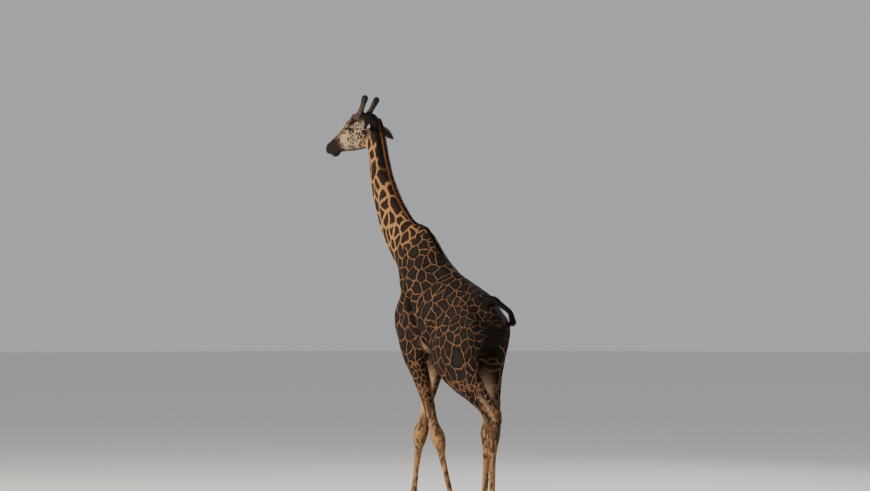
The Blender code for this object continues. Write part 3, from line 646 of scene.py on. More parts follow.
def eye_window(head_points, side):
    """Shapes the lids: inside an almond the skin dives behind the eyeball, outside it lies on it.

    Between 0.7 and 1.2 of the almond's size the two are blended, which makes the lids' edges.
    """
    centre = np.array(EYE_PLACE) * (1, side, 1)
    offset = head_points - centre
    distance = np.linalg.norm(offset, axis=1)
    outward_axis = unit(np.array((0.20, side * 1.0, 0.08)))
    facing = offset @ outward_axis
    along = offset[:, 0] * math.cos(EYE_SLANT) + offset[:, 2] * math.sin(EYE_SLANT)
    up = -offset[:, 0] * math.sin(EYE_SLANT) + offset[:, 2] * math.cos(EYE_SLANT)
    almond = (along / 0.0275) ** 2 + (np.abs(up) / np.where(up > 0, 0.0112, 0.0105)) ** 1.7
    near = (distance < 0.075) & (facing > -0.004)
    direction = unit(offset)
    lid = EYE_RADIUS + LID + LID_RIM * bell(almond - 1.5, 0.6)
    covered = np.maximum(distance, lid)
    opened = covered + (EYE_RADIUS - 0.006 - covered) * ease(almond, 1.20, 0.70)
    blend = np.clip((0.062 - distance) / 0.012, 0, 1)
    target = np.where(distance < 0.062, covered * blend + distance * (1 - blend), distance)
    target = np.where(almond < 1.20, opened, target)
    moved = centre + direction * target[:, None]
    return np.where(near[:, None], moved, head_points)


# Forms of the head in head directions, as height, centre and radii.
HEAD_BUMPS = (
    (0.007, (0.195, 0.11, -0.13), (0.10, 0.08, 0.09)),        # the cheek's muscle
    (-0.006, (0.47, 0.07, -0.115), (0.10, 0.06, 0.035)),      # below the face's crest
    (-0.006, (0.47, 0.06, 0.035), (0.10, 0.04, 0.040)),       # above it
    (-0.007, (0.205, 0.11, 0.045), (0.055, 0.05, 0.040)),     # the temple
    (0.006, (0.335, 0.10, 0.052), (0.050, 0.05, 0.018)),      # the brow
)
# Ridges and grooves of the head, as height, width and line.
HEAD_LINES = (
    (0.0065, 0.020, ((0.385, 0.100, -0.028), (0.47, 0.082, -0.052), (0.57, 0.066, -0.062))),
    (-0.0035, 0.0045, ((0.360, 0.106, -0.006), (0.385, 0.102, -0.020), (0.405, 0.098, -0.030))),
    (0.0055, 0.021, NOSTRIL),
    (-0.019, 0.0075, NOSTRIL),
    (0.004, 0.018, ((0.13, 0.085, -0.245), (0.30, 0.070, -0.262), (0.50, 0.050, -0.190))),
    (0.0018, 0.0045, ((0.40, 0.092, -0.070), (0.50, 0.075, -0.085), (0.60, 0.066, -0.060),
                      (0.68, 0.062, -0.020))),
)
LID_FOLDS = ((0.030, -0.0022), (0.040, -0.0016), (-0.030, -0.0022), (-0.040, -0.0015))


def head_relief(head):
    """Height of the head's forms over the plain skull: crests, hollows, nostrils, lips and folds."""
    folded = both_sides(head)
    height = sum(tall * bump_at(folded, centre, radii) for tall, centre, radii in HEAD_BUMPS)
    lines = list(HEAD_LINES)
    for lift, tall in LID_FOLDS:
        line = ((0.295, 0.108, lift * 0.75), (0.331, 0.112, lift + 0.004), (0.370, 0.104, lift * 0.70))
        lines.append((tall, 0.0040, line))
    for tall, width, line in lines:
        height += tall * bell(near_path(folded, line)[0], width)
    mouth, share = near_path(folded, MOUTH)
    height -= 0.0085 * bell(mouth, 0.0050) * (1 - 0.6 * ease(share, 0.75, 1.0))
    height += 0.0035 * bell(mouth - 0.014, 0.008) * (1 - ease(share, 0.8, 1.0))
    parting = ease(head[:, 0], 0.800, 0.845) * bell(head[:, 1], 0.004)
    height -= 0.0035 * parting * (head[:, 2] > -0.07) * (head[:, 2] < -0.005)
    throat = 0.5 + 0.5 * np.sin(head[:, 0] * 2 * math.pi / 0.034)
    height -= 0.0035 * throat * bump_at(folded, (0.02, 0.06, -0.20), (0.07, 0.07, 0.08))
    height += 0.0012 * ripple(head, 0.055, 5) + 0.0006 * ripple(head, 0.020, 6)
    return height


def body_relief(points, shares):
    """Height of the body's forms: shoulder blade, elbow fold, ribs, flank, knees, hocks and veins."""
    body = to_body(points)
    side = np.abs(body[:, 1])
    height = np.zeros(len(points))
    flat = beside(body)
    fold, share = near_path(flat, FOLD)
    behind = flat[:, 0] + 0.62 * (2.40 - flat[:, 2]) < 0.40
    here = ease(side, 0.10, 0.20)
    height -= here * 0.055 * bell(fold, 0.030) * ease(share, 0.0, 0.35)
    height += here * 0.020 * bell(fold - 0.070, 0.035) * behind * ease(share, 0.05, 0.4)
    height += here * 0.008 * bell(fold - 0.085, 0.050) * ~behind * ease(share, 0.0, 0.3)
    blade, share = near_path(flat, ((0.52, 0, 3.02), (0.58, 0, 2.75), (0.66, 0, 2.50)))
    height += here * 0.010 * bell(blade, 0.030) * (1 - 0.5 * share)
    groove, _ = near_path(flat, ((0.70, 0, 2.95), (0.76, 0, 2.72), (0.79, 0, 2.50)))
    height -= here * 0.008 * bell(groove, 0.028)
    ribs = np.sin((body[:, 0] + 0.22 * (body[:, 2] - 2.3)) * 2 * math.pi / 0.078)
    cage = bump_at(np.stack((body[:, 0], body[:, 2]), axis=-1), (0.14, 2.40), (0.26, 0.30))
    height += 0.0022 * ribs * cage * (side > 0.2)
    flat = np.stack((body[:, 0], np.zeros(len(body)), body[:, 2]), axis=-1)
    flank, _ = near_path(flat, ((0.05, 0, 2.06), (0.01, 0, 2.20), (-0.08, 0, 2.38), (-0.24, 0, 2.54)))
    height -= 0.016 * bell(flank, 0.036) * ease(side, 0.10, 0.16)
    for depth, offset in ((0.0030, 0.00), (0.0024, 0.035), (0.0018, 0.065)):
        line = ((0.06 - offset, 0, 1.99), (0.00 - offset, 0, 2.12), (-0.02 - offset, 0, 2.26))
        crease, _ = near_path(flat, line)
        height -= depth * bell(crease, 0.008) * (side > 0.12)
    height += 0.012 * bump_at(both_sides(body), (-0.40, 0.25, 2.60), (0.08, 0.08, 0.06))
    length, off, _ = along_spine(body)
    on_neck = ease(length, NECK_FROM - 0.2, NECK_FROM + 0.25) * (1 - shares[:, 0])
    jugular = bell(off + 0.045, 0.028) * (side > 0.04)
    height -= 0.007 * on_neck * jugular
    height += 0.0035 * on_neck * np.sin(length * 2 * math.pi / 0.26) * bell(off - 0.02, 0.05)
    height += leg_relief(points, body, shares)
    height += 0.0030 * ripple(points, 0.34, 1) + 0.0012 * ripple(points, 0.11, 2)
    return height


def leg_relief(points, body, shares):
    """Height of the legs' forms: the tendons, the heel's hollow and cord, and the knee's front."""
    height = np.zeros(len(points))
    for name in LEGS:
        hind = name.startswith("hind")
        weight = shares[:, FLESH.index(name)]
        off = points[:, :2] - axis_at(name, points[:, 2])
        lower = ease(points[:, 2], *((1.12, 0.92) if hind else (1.35, 0.98)))
        lower = lower * ease(points[:, 2], 0.22, 0.34)
        tendon = bell(off[:, 1] - 0.012, 0.010) * (np.abs(off[:, 0]) > 0.018)
        height -= 0.0055 * weight * lower * tendon
        if hind:
            here = beside_hind(points, body, name)
            hollow, share = near_path(here, HEEL_HOLLOW)
            hollow = bell(hollow, 0.028) * ease(share, 0.0, 0.3) * ease(share, 1.0, 0.85)
            height -= 0.042 * weight * hollow
            cord, share = near_path(here, HEEL_CORD)
            height += 0.010 * weight * bell(cord, 0.022) * ease(share, 0.0, 0.2)
        else:
            knee = bump_at(points[:, 2:3], (1.0,), (0.10,)) * (off[:, 1] < 0)
            height += 0.004 * weight * knee * bell(off[:, 0], 0.035)
    return height


def ear_parts(side):
    """A leaf bent into a cup along its length, with a funnel where it leaves the skull.

    Half width is w sin(pi (0.1 + 0.86 t)^0.85), depth falls from 0.95 to 0.35 of it, and the wall
    is thickest along the middle. The outer arc and the inner arc are joined at the edges.
    """
    rings, spread = EAR_RINGS, EAR_SPREAD
    root, direction, facing = (np.array(vector) for vector in EARS[side])
    root, direction, facing = root * (1, side, 1), unit(direction * (1, side, 1)), facing * (1, side, 1)
    facing = unit(facing - direction * facing.dot(direction))
    across = np.cross(direction, facing)
    share = np.linspace(0, 1, rings)[:, None]
    out = np.linspace(-1, 1, spread)[None]
    arch = 1 - out ** 2
    half = np.maximum(0.0565 * np.sin(math.pi * (0.10 + 0.86 * share) ** 0.85), 0.006)
    half = half * (1 + 0.25 * ease(share, 0.10, 0.0))
    depth = half * (0.95 - 0.60 * share)
    wall = 0.0075 * (1.3 - 0.6 * share) * (0.30 + 0.70 * arch)
    centre = root + direction * EAR_LENGTH * share[..., None]
    centre = centre - facing * 0.020 * np.sin(math.pi * share)[..., None]
    edge = 1 + 0.035 * np.sin(share * 19) * share

    def layer(widen, lift):
        return (centre + (half * out * widen * edge)[..., None] * across
                - (depth * arch)[..., None] * facing + lift[..., None] * facing)

    outer = layer(1.0, -wall / 2)
    inner = layer(0.95, wall / 2)[:, ::-1]
    grid = np.concatenate((outer, inner), axis=1)
    points, faces = closed_loft(from_head(grid.reshape(-1, 3)).reshape(rings, -1, 3))
    inside = np.concatenate((np.zeros((rings, spread)), np.broadcast_to(arch, (rings, spread))), axis=1)
    inside = np.concatenate((inside.reshape(-1), (0.0, 0.0)))
    rim = np.concatenate((np.abs(out) ** 6 + 0 * share, np.abs(out) ** 6 + 0 * share), axis=1).reshape(-1)
    rim = np.concatenate((rim, (0.0, 1.0)))
    length = np.concatenate((np.repeat(share.reshape(-1), spread * 2), (0.0, 1.0)))
    return points, faces, inside, rim, length


def tail_parts(sides=16, per_row=5):
    """The dock: a round tube along the tail's line, with a wider root inside the rump."""
    at = np.arange(0, (TUFT_ROW + 1) * per_row + 1) / per_row
    rows = curve_through(TAIL, at)
    middle = from_body(rows[:, :3])
    tangent = unit(np.gradient(middle, axis=0))
    radius = rows[:, 3] * (1 + 0.35 * ease(at, 1.4, 0.4))
    radius[at > TUFT_ROW] *= 0.55
    across = unit(np.cross(tangent, (0.31, 0.17, 0.93)))
    lift = np.cross(across, tangent)
    angle = np.linspace(0, 2 * math.pi, sides, endpoint=False)
    rings = (middle[:, None] + radius[:, None, None] * (np.cos(angle)[None, :, None] * across[:, None]
                                                         + np.sin(angle)[None, :, None] * lift[:, None]))
    return closed_loft(rings)


def finer_near(mesh, wanted):
    """Halves the edges of the faces whose middle the test wants finer."""
    work = bmesh.new()
    work.from_mesh(mesh)
    middles = np.array([face.calc_center_median() for face in work.faces])
    chosen = wanted(middles)
    edges = {edge for face, pick in zip(work.faces, chosen) if pick for edge in face.edges}
    bmesh.ops.subdivide_edges(work, edges=list(edges), cuts=1, use_grid_fill=True)
    bmesh.ops.triangulate(work, faces=[face for face in work.faces if len(face.verts) > 4])
    work.to_mesh(mesh)
    work.free()
    return mesh


def head_middle(points):
    head = to_head(points)
    return (head[:, 0] > -0.02) & (points[:, 2] > 4.25) & (head[:, 2] > -0.36)


def detail_places(points):
    head = to_head(points)
    folded = both_sides(head)
    near_eye = np.linalg.norm(folded - np.array(EYE_PLACE), axis=1) < 0.058
    near_nostril = np.linalg.norm(folded - np.array((0.768, 0.048, 0.010)), axis=1) < 0.042
    near_mouth, _ = near_path(folded, (MOUTH[0], MOUTH[2], (0.640, 0.061, -0.095)), 30)
    return near_eye | near_nostril | (near_mouth < 0.014)


def held_inside(points, limit):
    """Points further than the limit outside the flesh solids are brought back to it."""
    mesh = merged_copy(FLESH_AND_EYES)
    faces = np.empty(len(mesh.polygons) * 3, np.int32)
    mesh.polygons.foreach_get("vertices", faces)
    tree = BVHTree.FromPolygons(read_points(mesh).tolist(), faces.reshape(-1, 3).tolist())
    found = [tree.find_nearest(point)[:2] for point in points]
    nearest = np.array([place for place, _ in found])
    outward_way = np.array([normal for _, normal in found])
    out = ((points - nearest) * outward_way).sum(axis=1)
    return points - outward_way * np.clip(out - limit, 0, 0.05)[:, None]


class Skin:
    """The finished skin's arrays, which the coat reads."""
    made = None

    def __init__(self, mesh, points, normals, shares, patch, zone, tone):
        self.mesh, self.points, self.normals, self.shares = mesh, points, normals, shares
        self.patch, self.zone, self.tone = patch, zone, tone


def make_skin_mesh(settings):
    """Fuses the flesh solids' copies, smooths them, refines the head and carves the relief."""
    fuse = ("REMESH", {"mode": "VOXEL", "voxel_size": settings.grain})
    mesh = evaluated(merged_copy(FLESH_AND_EYES), fuse)
    points = read_points(mesh)
    pairs = edge_pairs(mesh)
    high = ease(points[:, 2], 1.45, 2.0)
    strength = 0.35 + 0.65 * high
    strength *= 1 - 0.55 * head_middle(points)
    points = smoothed(points, pairs, 26, strength)
    body = to_body(points)
    groin = ease(np.abs(body[:, 1]), 0.26, 0.14) * ease(body[:, 0], -0.30, -0.45)
    groin = groin * ease(body[:, 2], 1.72, 1.88) * ease(body[:, 2], 2.30, 2.14)
    for _ in range(60):
        points = points + 0.5 * groin[:, None] * (neighbour_mean(points, pairs) - points)
    mesh.vertices.foreach_set("co", points.astype(np.float32).reshape(-1))
    for wanted, rounds in ((head_middle, 5), (head_middle, 4), (detail_places, 2)):
        mesh = finer_near(mesh, wanted)
        points = read_points(mesh)
        chosen = wanted(points).astype(float)
        points = smoothed(points, edge_pairs(mesh), rounds, chosen)
        mesh.vertices.foreach_set("co", points.astype(np.float32).reshape(-1))
    mesh.update()
    normals = read_points(mesh, "normal")
    pairs = edge_pairs(mesh)
    shares = shares_of_nodes(points, pairs, 14)
    on_head = shares[:, 0]
    head = to_head(points)
    height = (1 - on_head) * (body_relief(points, shares) - settings.coat_depth)
    height += on_head * (head_relief(head) - settings.coat_depth * 0.5)
    points = held_inside(points + normals * height[:, None], 0.001)
    head = to_head(points)
    for side in (1, -1):
        head = eye_window(head, side)
    near_eyes = np.linalg.norm(both_sides(head) - np.array(EYE_PLACE), axis=1) < 0.08
    points[near_eyes] = from_head(head)[near_eyes]
    mesh.vertices.foreach_set("co", points.astype(np.float32).reshape(-1))
    mesh.update()
    return mesh, points, shares


def make_skin(settings):
    """One skin for all the flesh: the fused body with the ears and the tail's dock in one mesh."""
    body_mesh, points, shares = make_skin_mesh(settings)
    count = len(body_mesh.polygons)
    totals = np.empty(count, np.int32)
    body_mesh.polygons.foreach_get("loop_total", totals)
    corners = np.empty(len(body_mesh.loops), np.int32)
    body_mesh.loops.foreach_get("vertex_index", corners)
    starts = np.concatenate(((0,), np.cumsum(totals)[:-1]))
    faces = [corners[starts[totals == size][:, None] + np.arange(size)]
             for size in (3, 4) if (totals == size).any()]
    parts = [(points, faces)]
    ear_data = [ear_parts(side) for side in (1, -1)]
    for ear in ear_data:
        parts.append((ear[0], ear[1]))
    dock = tail_parts()
    parts.append(dock)
    all_points, all_faces = joined(parts)
    mesh = outward(mesh_from("skin", all_points, all_faces))
    head_share, trunk_share = np.zeros((1, len(FLESH))), np.zeros((1, len(FLESH)))
    head_share[0, 0] = 1
    trunk_share[0, 2] = 1
    ears_count = sum(len(ear[0]) for ear in ear_data)
    all_shares = np.vstack((shares, np.repeat(head_share, ears_count, axis=0),
                            np.repeat(trunk_share, len(dock[0]), axis=0)))
    normals = read_points(mesh, "normal")
    patch = hide_chart(all_points, normals, edge_pairs(mesh), all_shares)
    zone, tone = zones_of(all_points, all_shares)
    extra = np.zeros((len(all_points), 3))
    start = len(points)
    # Painted shade: the tail's dock is darkened all over.
    tone[-len(dock[0]):] = (0, 0.80, 0)
    for ear_points, _, inside, rim, length in ear_data:
        stop = start + len(ear_points)
        extra[start:stop] = np.stack((inside, rim, length), axis=-1)
        zone[start:stop] = (0, 0, 1)
        tone[start:stop] = (0, 0, 0)
        start = stop
    write_field(mesh, "patch", patch)
    write_field(mesh, "zone", zone)
    write_field(mesh, "tone", tone)
    write_field(mesh, "ear", extra)
    Skin.made = Skin(mesh, all_points, normals, all_shares, patch, zone, tone)
    Skin.made.ear = extra
    Skin.made.body_count = len(points)
    Skin.made.tail_count = len(dock[0])
    return mesh


# ---------------------------------------------------------------- hair

def locks(name, paths, half_widths, lifts):
    """Tapering three-sided hairs or tufts along paths.

    paths is (hairs, rows, 3), half_widths is (hairs, rows) and lifts (hairs, 3) is each hair's top
    side. Every row but the last is a flat triangle across the path, and the last is a point. Tufts
    of up to three rows are shaded flat, longer hairs smooth.
    """
    hairs, rows = paths.shape[:2]
    tangent = unit(np.gradient(paths, axis=1))
    side = unit(np.cross(tangent, lifts[:, None, :]))
    top = np.cross(side, tangent)
    width = half_widths[..., None]
    left = paths - side * width
    right = paths + side * width
    ridge = paths + top * width * 0.35
    sections = np.stack((left, right, ridge), axis=2)[:, :-1]
    points = np.concatenate((sections.reshape(hairs, -1, 3), paths[:, -1:]), axis=1)
    faces = [(0, 1, 2)]
    for row in range(rows - 2):
        low, high = row * 3, row * 3 + 3
        for start, end in ((0, 1), (1, 2), (2, 0)):
            faces.append((low + end, low + start, high + start))
            faces.append((low + end, high + start, high + end))
    last = (rows - 2) * 3
    for start, end in ((0, 1), (1, 2), (2, 0)):
        faces.append((last + end, last + start, last + 3))
    per_hair = points.shape[1]
    faces = np.array(faces)[None] + (np.arange(hairs) * per_hair)[:, None, None]
    mesh = mesh_from(name, points.reshape(-1, 3), [faces.reshape(-1, 3)])
    if rows < 4:
        mesh.shade_flat()
    share = np.concatenate((np.repeat(np.arange(rows - 1) / (rows - 1), 3), (1.0,)))
    return mesh, per_hair, share


def dress_locks(mesh, per_hair, share, fields, places):
    """Writes each hair's fields and its small patch on the bake's sheet at its root's place."""
    for name, values in fields.items():
        write_field(mesh, name, np.repeat(values, per_hair, axis=0))
    write_field(mesh, "strand", np.tile(share, len(places)))
    across = np.tile((0.0, 1.0, 0.5), (per_hair // 3) + 1)[:per_hair]
    small = np.stack((across, share), axis=-1) * 0.003 - 0.0015
    write_uv(mesh, (places[:, None] + small[None]).reshape(-1, 2))


def scatter(chosen, density, rng):
    """Roots on the skin's faces: density is tufts for each square metre at every point."""
    skin = Skin.made
    mesh = skin.mesh
    mesh.calc_loop_triangles()
    triangles = np.empty(len(mesh.loop_triangles) * 3, np.int32)
    mesh.loop_triangles.foreach_get("vertices", triangles)
    triangles = triangles.reshape(-1, 3)
    triangles = triangles[chosen[triangles].all(axis=1)]
    corners = skin.points[triangles]
    across = np.cross(corners[:, 1] - corners[:, 0], corners[:, 2] - corners[:, 0])
    area = np.linalg.norm(across, axis=1) / 2
    expected = area * density[triangles].mean(axis=1)
    count = np.floor(expected + rng.random(len(expected))).astype(int)
    picked = np.repeat(np.arange(len(triangles)), count)
    first, second = rng.random(len(picked)), rng.random(len(picked))
    flip = first + second > 1
    first[flip], second[flip] = 1 - first[flip], 1 - second[flip]
    weights = np.stack((1 - first - second, first, second), axis=-1)
    return triangles[picked], weights


def read_at(values, corners, weights):
    return (values[corners] * weights[..., None]).sum(axis=1)


def lay_tufts(name, chosen, density, length, width, lift, seed, material):
    """Short tufts that lie along the coat; length, width and lift are given at every skin point."""
    rng = np.random.default_rng(seed)
    skin = Skin.made
    corners, weights = scatter(chosen, density, rng)
    root = read_at(skin.points, corners, weights)
    normal = unit(read_at(skin.normals, corners, weights))
    shares = read_at(skin.shares, corners, weights)
    flow = lie_of_coat(root, normal, shares)
    if skin.ear[chosen].any():
        along_ear = unit(read_at(skin.flow, corners, weights))
        on_ear = np.abs(read_at(skin.ear, corners, weights)).sum(axis=1, keepdims=True) > 0
        flow = np.where(on_ear, along_ear, flow)
    across = np.cross(normal, flow)
    flow = unit(flow + across * rng.normal(0, 0.16, (len(root), 1)))
    size = np.stack((length, width, lift), axis=-1)
    size = read_at(size, corners, weights) * rng.uniform(0.75, 1.25, (len(root), 1))
    rows = np.array((0.0, 0.45, 1.0))
    rise = np.array((-0.10, 0.85, 1.0))
    paths = (root[:, None] + flow[:, None] * (size[:, 0:1] * rows)[..., None]
             + normal[:, None] * (size[:, 2:3] * rise - 0.0006)[..., None])
    widths = size[:, 1:2] * np.array((0.7, 1.0, 0.0))
    mesh, per_hair, share = locks(name, paths, widths, normal)
    fields = {"patch": read_at(skin.patch, corners, weights), "zone": read_at(skin.zone, corners, weights),
              "tone": read_at(skin.tone, corners, weights), "ear": read_at(skin.ear, corners, weights)}
    dress_locks(mesh, per_hair, share, fields, sheet_places(root, shares))
    return new_piece(name, mesh, material)


# ---------------------------------------------------------------- materials

class Term:
    """A socket that takes part in sums: each operator adds a Math node."""

    def __init__(self, graph, socket):
        self.graph, self.socket = graph, socket

    def _math(self, operation, *terms):
        node = self.graph.node("ShaderNodeMath", {"operation": operation}, dict(enumerate(terms)))
        return Term(self.graph, node.outputs[0])

    def __add__(self, other):
        return self._math("ADD", self, other)

    def __sub__(self, other):
        return self._math("SUBTRACT", self, other)

    def __rsub__(self, other):
        return self._math("SUBTRACT", other, self)

    def __mul__(self, other):
        return self._math("MULTIPLY", self, other)

    def __truediv__(self, other):
        return self._math("DIVIDE", self, other)

    def __pow__(self, other):
        return self._math("POWER", self, other)

    __radd__ = __add__
    __rmul__ = __mul__

    def held(self):
        """The value kept between 0 and 1."""
        return self._math("MINIMUM", self._math("MAXIMUM", self, 0.0), 1.0)

    def least(self, other):
        return self._math("MINIMUM", self, other)

    def rise(self, start, end):
        """A smooth step from 0 at start to 1 at end."""
        settings = {"interpolation_type": "SMOOTHSTEP"}
        inputs = {"Value": self, "From Min": start, "From Max": end}
        node = self.graph.node("ShaderNodeMapRange", settings, inputs)
        return Term(self.graph, node.outputs["Result"])

    def shifted(self, other):
        """A vector plus another vector."""
        node = self.graph.node("ShaderNodeVectorMath", {"operation": "ADD"}, {0: self, 1: other})
        return Term(self.graph, node.outputs[0])

    def scaled(self, factor):
        """A vector times one number or three."""
        factor = (factor,) * 3 if isinstance(factor, (int, float)) else factor
        node = self.graph.node("ShaderNodeVectorMath", {"operation": "MULTIPLY"}, {0: self, 1: factor})
        return Term(self.graph, node.outputs[0])

    def part(self, index):
        node = self.graph.node("ShaderNodeSeparateXYZ", {}, {0: self})
        return Term(self.graph, node.outputs[index])


class Finish:
    """A material under construction: one Principled shader and the nodes that feed it."""

    def __init__(self, name):
        self.material = bpy.data.materials.new(name)
        self.material.use_nodes = True
        self.tree = self.material.node_tree
        self.shader = self.tree.nodes["Principled BSDF"]

    def node(self, kind, settings, inputs):
        made = self.tree.nodes.new(kind)
        for key, value in settings.items():
            setattr(made, key, value)
        for key, value in inputs.items():
            self.feed(made.inputs[key], value)
        return made

    def feed(self, socket, value):
        if isinstance(value, Term):
            self.tree.links.new(value.socket, socket)
        else:
            socket.default_value = value

    def field(self, name, output="Vector"):
        node = self.node("ShaderNodeAttribute", {"attribute_name": name}, {})
        return Term(self, node.outputs[output])

    def place(self):
        node = self.node("ShaderNodeTexCoord", {}, {})
        return Term(self, node.outputs["Object"])

    def noise(self, vector, scale, detail=2.0, rough=0.55, output="Fac"):
        node = self.node("ShaderNodeTexNoise", {"normalize": True},
                         {"Vector": vector, "Scale": scale, "Detail": detail, "Roughness": rough})
        return Term(self, node.outputs[output])

    def drift(self, place, scale, detail, rough, reach):
        """A vector of noise around zero, up to half of reach each way."""
        return self.noise(place, scale, detail, rough, "Color").shifted((-0.5, -0.5, -0.5)).scaled(reach)

    def cell_edges(self, vector, scale, randomness=1.0, flat=False):
        """Distance to the nearest edge between the cells of random points."""
        settings = {"voronoi_dimensions": "2D" if flat else "3D", "feature": "DISTANCE_TO_EDGE"}
        node = self.node("ShaderNodeTexVoronoi", settings,
                         {"Vector": vector, "Scale": scale, "Randomness": randomness})
        return Term(self, node.outputs["Distance"])

    def mix(self, factor, first, second):
        inputs = {0: factor, 6: colour(first), 7: colour(second)}
        node = self.node("ShaderNodeMix", {"data_type": "RGBA"}, inputs)
        return Term(self, node.outputs[2])

    def brighter(self, tint, factor):
        """A colour times one number."""
        node = self.node("ShaderNodeMix", {"data_type": "RGBA", "blend_type": "MULTIPLY"},
                         {0: 1.0, 6: colour(tint), 7: (factor, factor, factor, 1.0)})
        return Term(self, node.outputs[2])

    def bump(self, height, distance, strength=1.0, below=None):
        inputs = {"Height": height, "Distance": distance, "Strength": strength}
        if below is not None:
            inputs["Normal"] = below
        node = self.node("ShaderNodeBump", {}, inputs)
        return Term(self, node.outputs["Normal"])

    def finish(self, **sockets):
        for name, value in sockets.items():
            self.feed(self.shader.inputs[name.replace("_", " ")], value)
        return self.material


def colour(value):
    """A colour for a socket: a term as it is, or three numbers with a full alpha."""
    return value if isinstance(value, Term) else (*tuple(value)[:3], 1.0)


GIVES_WAY = 0.06                      # how far a net's lines move apart where it gives way
HAIR_SHINE = 0.08                     # specular level of skin and tufts: a short coat hardly shines


def net_of_lines(finish, hide, size, turned=0.0, stretch=1.0):
    """Distance in metres to the nearest line of a net with patches of one size on the opened hide."""
    if turned:
        settings = {"rotation_type": "Z_AXIS"}
        node = finish.node("ShaderNodeVectorRotate", settings, {"Vector": hide, "Angle": turned})
        hide = Term(finish, node.outputs["Vector"])
    hide = hide.scaled((1 / size, 1 / (size * stretch), 1.0))
    return finish.cell_edges(hide, 1.0, 0.95, flat=True) * size


def distance_to_line(finish, place, neck, low):
    """Distance to the nearest line between patches.

    Each region has a net of lines of its own: large patches on the trunk, long ones on the neck and
    small ones down the legs. A net gives way to the next by moving its lines apart in the shading:
    its distance grows by up to GIVES_WAY. Noise of the place bends the lines.
    """
    hide = finish.field("patch")
    for drift in ((1.6, 1.0, 0.5, 0.26), (9.0, 2.0, 0.5, 0.060), (60.0, 2.0, 0.6, 0.010)):
        hide = hide.shifted(finish.drift(place, *drift))
    nets = (
        ((0.135,), neck.rise(0.42, 0.52) + low.rise(0.28, 0.40)),
        ((0.125, 0.45, 1.45), 1.0 - neck.rise(0.36, 0.46)),
        ((0.085,), 1.0 - low.rise(0.10, 0.24) + low.rise(0.48, 0.60)),
        ((0.050, 0.3, 1.3), 1.0 - low.rise(0.34, 0.44)),
    )
    trunk, *others = (net_of_lines(finish, hide, *net) + away * GIVES_WAY for net, away in nets)
    for other in others:
        trunk = trunk.least(other)
    return trunk


def shin_colour(finish, place, marks, low, grain, dust):
    """The lower legs: tan ground with dark mottles and specks."""
    ground = finish.mix((grain * 0.9 + dust * 0.3).rise(0.42, 0.75), marks.leg_ground, marks.leg_shade)
    blotch = finish.noise(place.scaled((1.0, 1.0, 0.42)), 24.0, 4.0, 0.68)
    speck = finish.noise(place.scaled((1.0, 1.0, 0.6)), 95.0, 2.0, 0.5)
    shin = finish.mix(((speck - 0.57).rise(0.0, 0.06) * 0.75).held(), ground, marks.leg_dark)
    mottle = (blotch - 0.22 - low * 0.28).rise(0.0, 0.09)
    return finish.mix((mottle * 0.88).held(), shin, marks.leg_dark)


def face_colour(finish, place, marks, pale, grain):
    """The face: brown above, cream on the cheeks, and small spots on both."""
    bent = place.shifted(finish.drift(place, 22.0, 2.0, 0.5, 0.042))
    spots = finish.cell_edges(bent.scaled((1.0, 1.0, 0.75)), 25.0)
    clump = finish.noise(place, 13.0, 2.0)
    plain = ((pale - 0.6) * 2.5).held()
    mark = (spots - 0.085 - plain * 0.26 + (clump - 0.5) * 0.42).rise(0.0, 0.08)
    cream = finish.mix((grain * 1.1).held(), marks.face_ground, marks.face_shade)
    brown = finish.mix((grain * 0.8).held(), marks.face_brown, marks.face_tan)
    cheek = finish.mix((mark * 0.94).held(), cream, marks.face_spot)
    top = finish.mix((mark * 0.60).held(), brown, marks.face_spot)
    creamy = (pale * 1.67 + (clump - 0.5) * 0.5).held()
    return finish.mix(creamy, top, cheek)


def marking_colour(finish, marks):
    """The coat's colour from the opened hide's places and the zone and tone fields, with a painted sheen
    lightening the patches' middles.
    """
    place, zone, tone = finish.place(), finish.field("zone"), finish.field("tone")
    neck, low, face = (zone.part(index) for index in range(3))
    muzzle, dark, pale = (tone.part(index) for index in range(3))
    edge = distance_to_line(finish, place, neck, low)
    uneven = finish.noise(place, 5.0, 2.0)
    width = (0.0042 + 0.0060 * neck - 0.0010 * low) * (0.40 + 1.2 * uneven)
    inside = ((edge - width) / (0.0032 + 0.0026 * neck)).rise(0.0, 1.0)
    grain = finish.noise(place, 75.0, 4.0, 0.65)
    # Painted sheen: the patches turn lighter and greyer away from their edges, unevenly.
    middle = (edge - width).rise(0.006, 0.055)
    dust = finish.noise(place, 2.6, 3.0)
    sheen_share = (middle * (0.2 + 0.9 * grain) * (0.1 + 1.1 * dust)).held()
    patch_tone = finish.mix(sheen_share, marks.patch, marks.patch_sheen)
    patch_tone = finish.mix((neck * 0.6 * uneven).held(), patch_tone, marks.neck_patch)
    line = finish.mix(neck, marks.line, marks.neck_ground)
    line = finish.mix((grain * 0.6).held(), line, marks.line_shade)
    line = finish.mix(low.rise(0.30, 0.62), line, marks.leg_shade)
    coat = finish.mix(inside, line, patch_tone)
    shin = shin_colour(finish, place, marks, low, grain, dust)
    coat = finish.mix((low + (uneven - 0.5) * 0.35 * low).rise(0.50, 0.72), coat, shin)
    coat = finish.mix(face, coat, face_colour(finish, place, marks, pale, grain))
    coat = finish.mix((muzzle + (grain - 0.5) * 0.5 * muzzle).held(), coat, marks.muzzle)
    # The dark tone also lays painted shade: folds, heel hollows, the rump's cleft and the tail's dock.
    coat = finish.mix((dark * 1.25 + (grain - 0.5) * 0.4 * dark).held(), coat, marks.patch)
    # The pale tone also lays painted light: the inner thighs' front and the heel's cords.
    under = (pale * 0.80 * (1.0 - face)).held()
    return finish.mix(under, coat, marks.pale), inside, grain


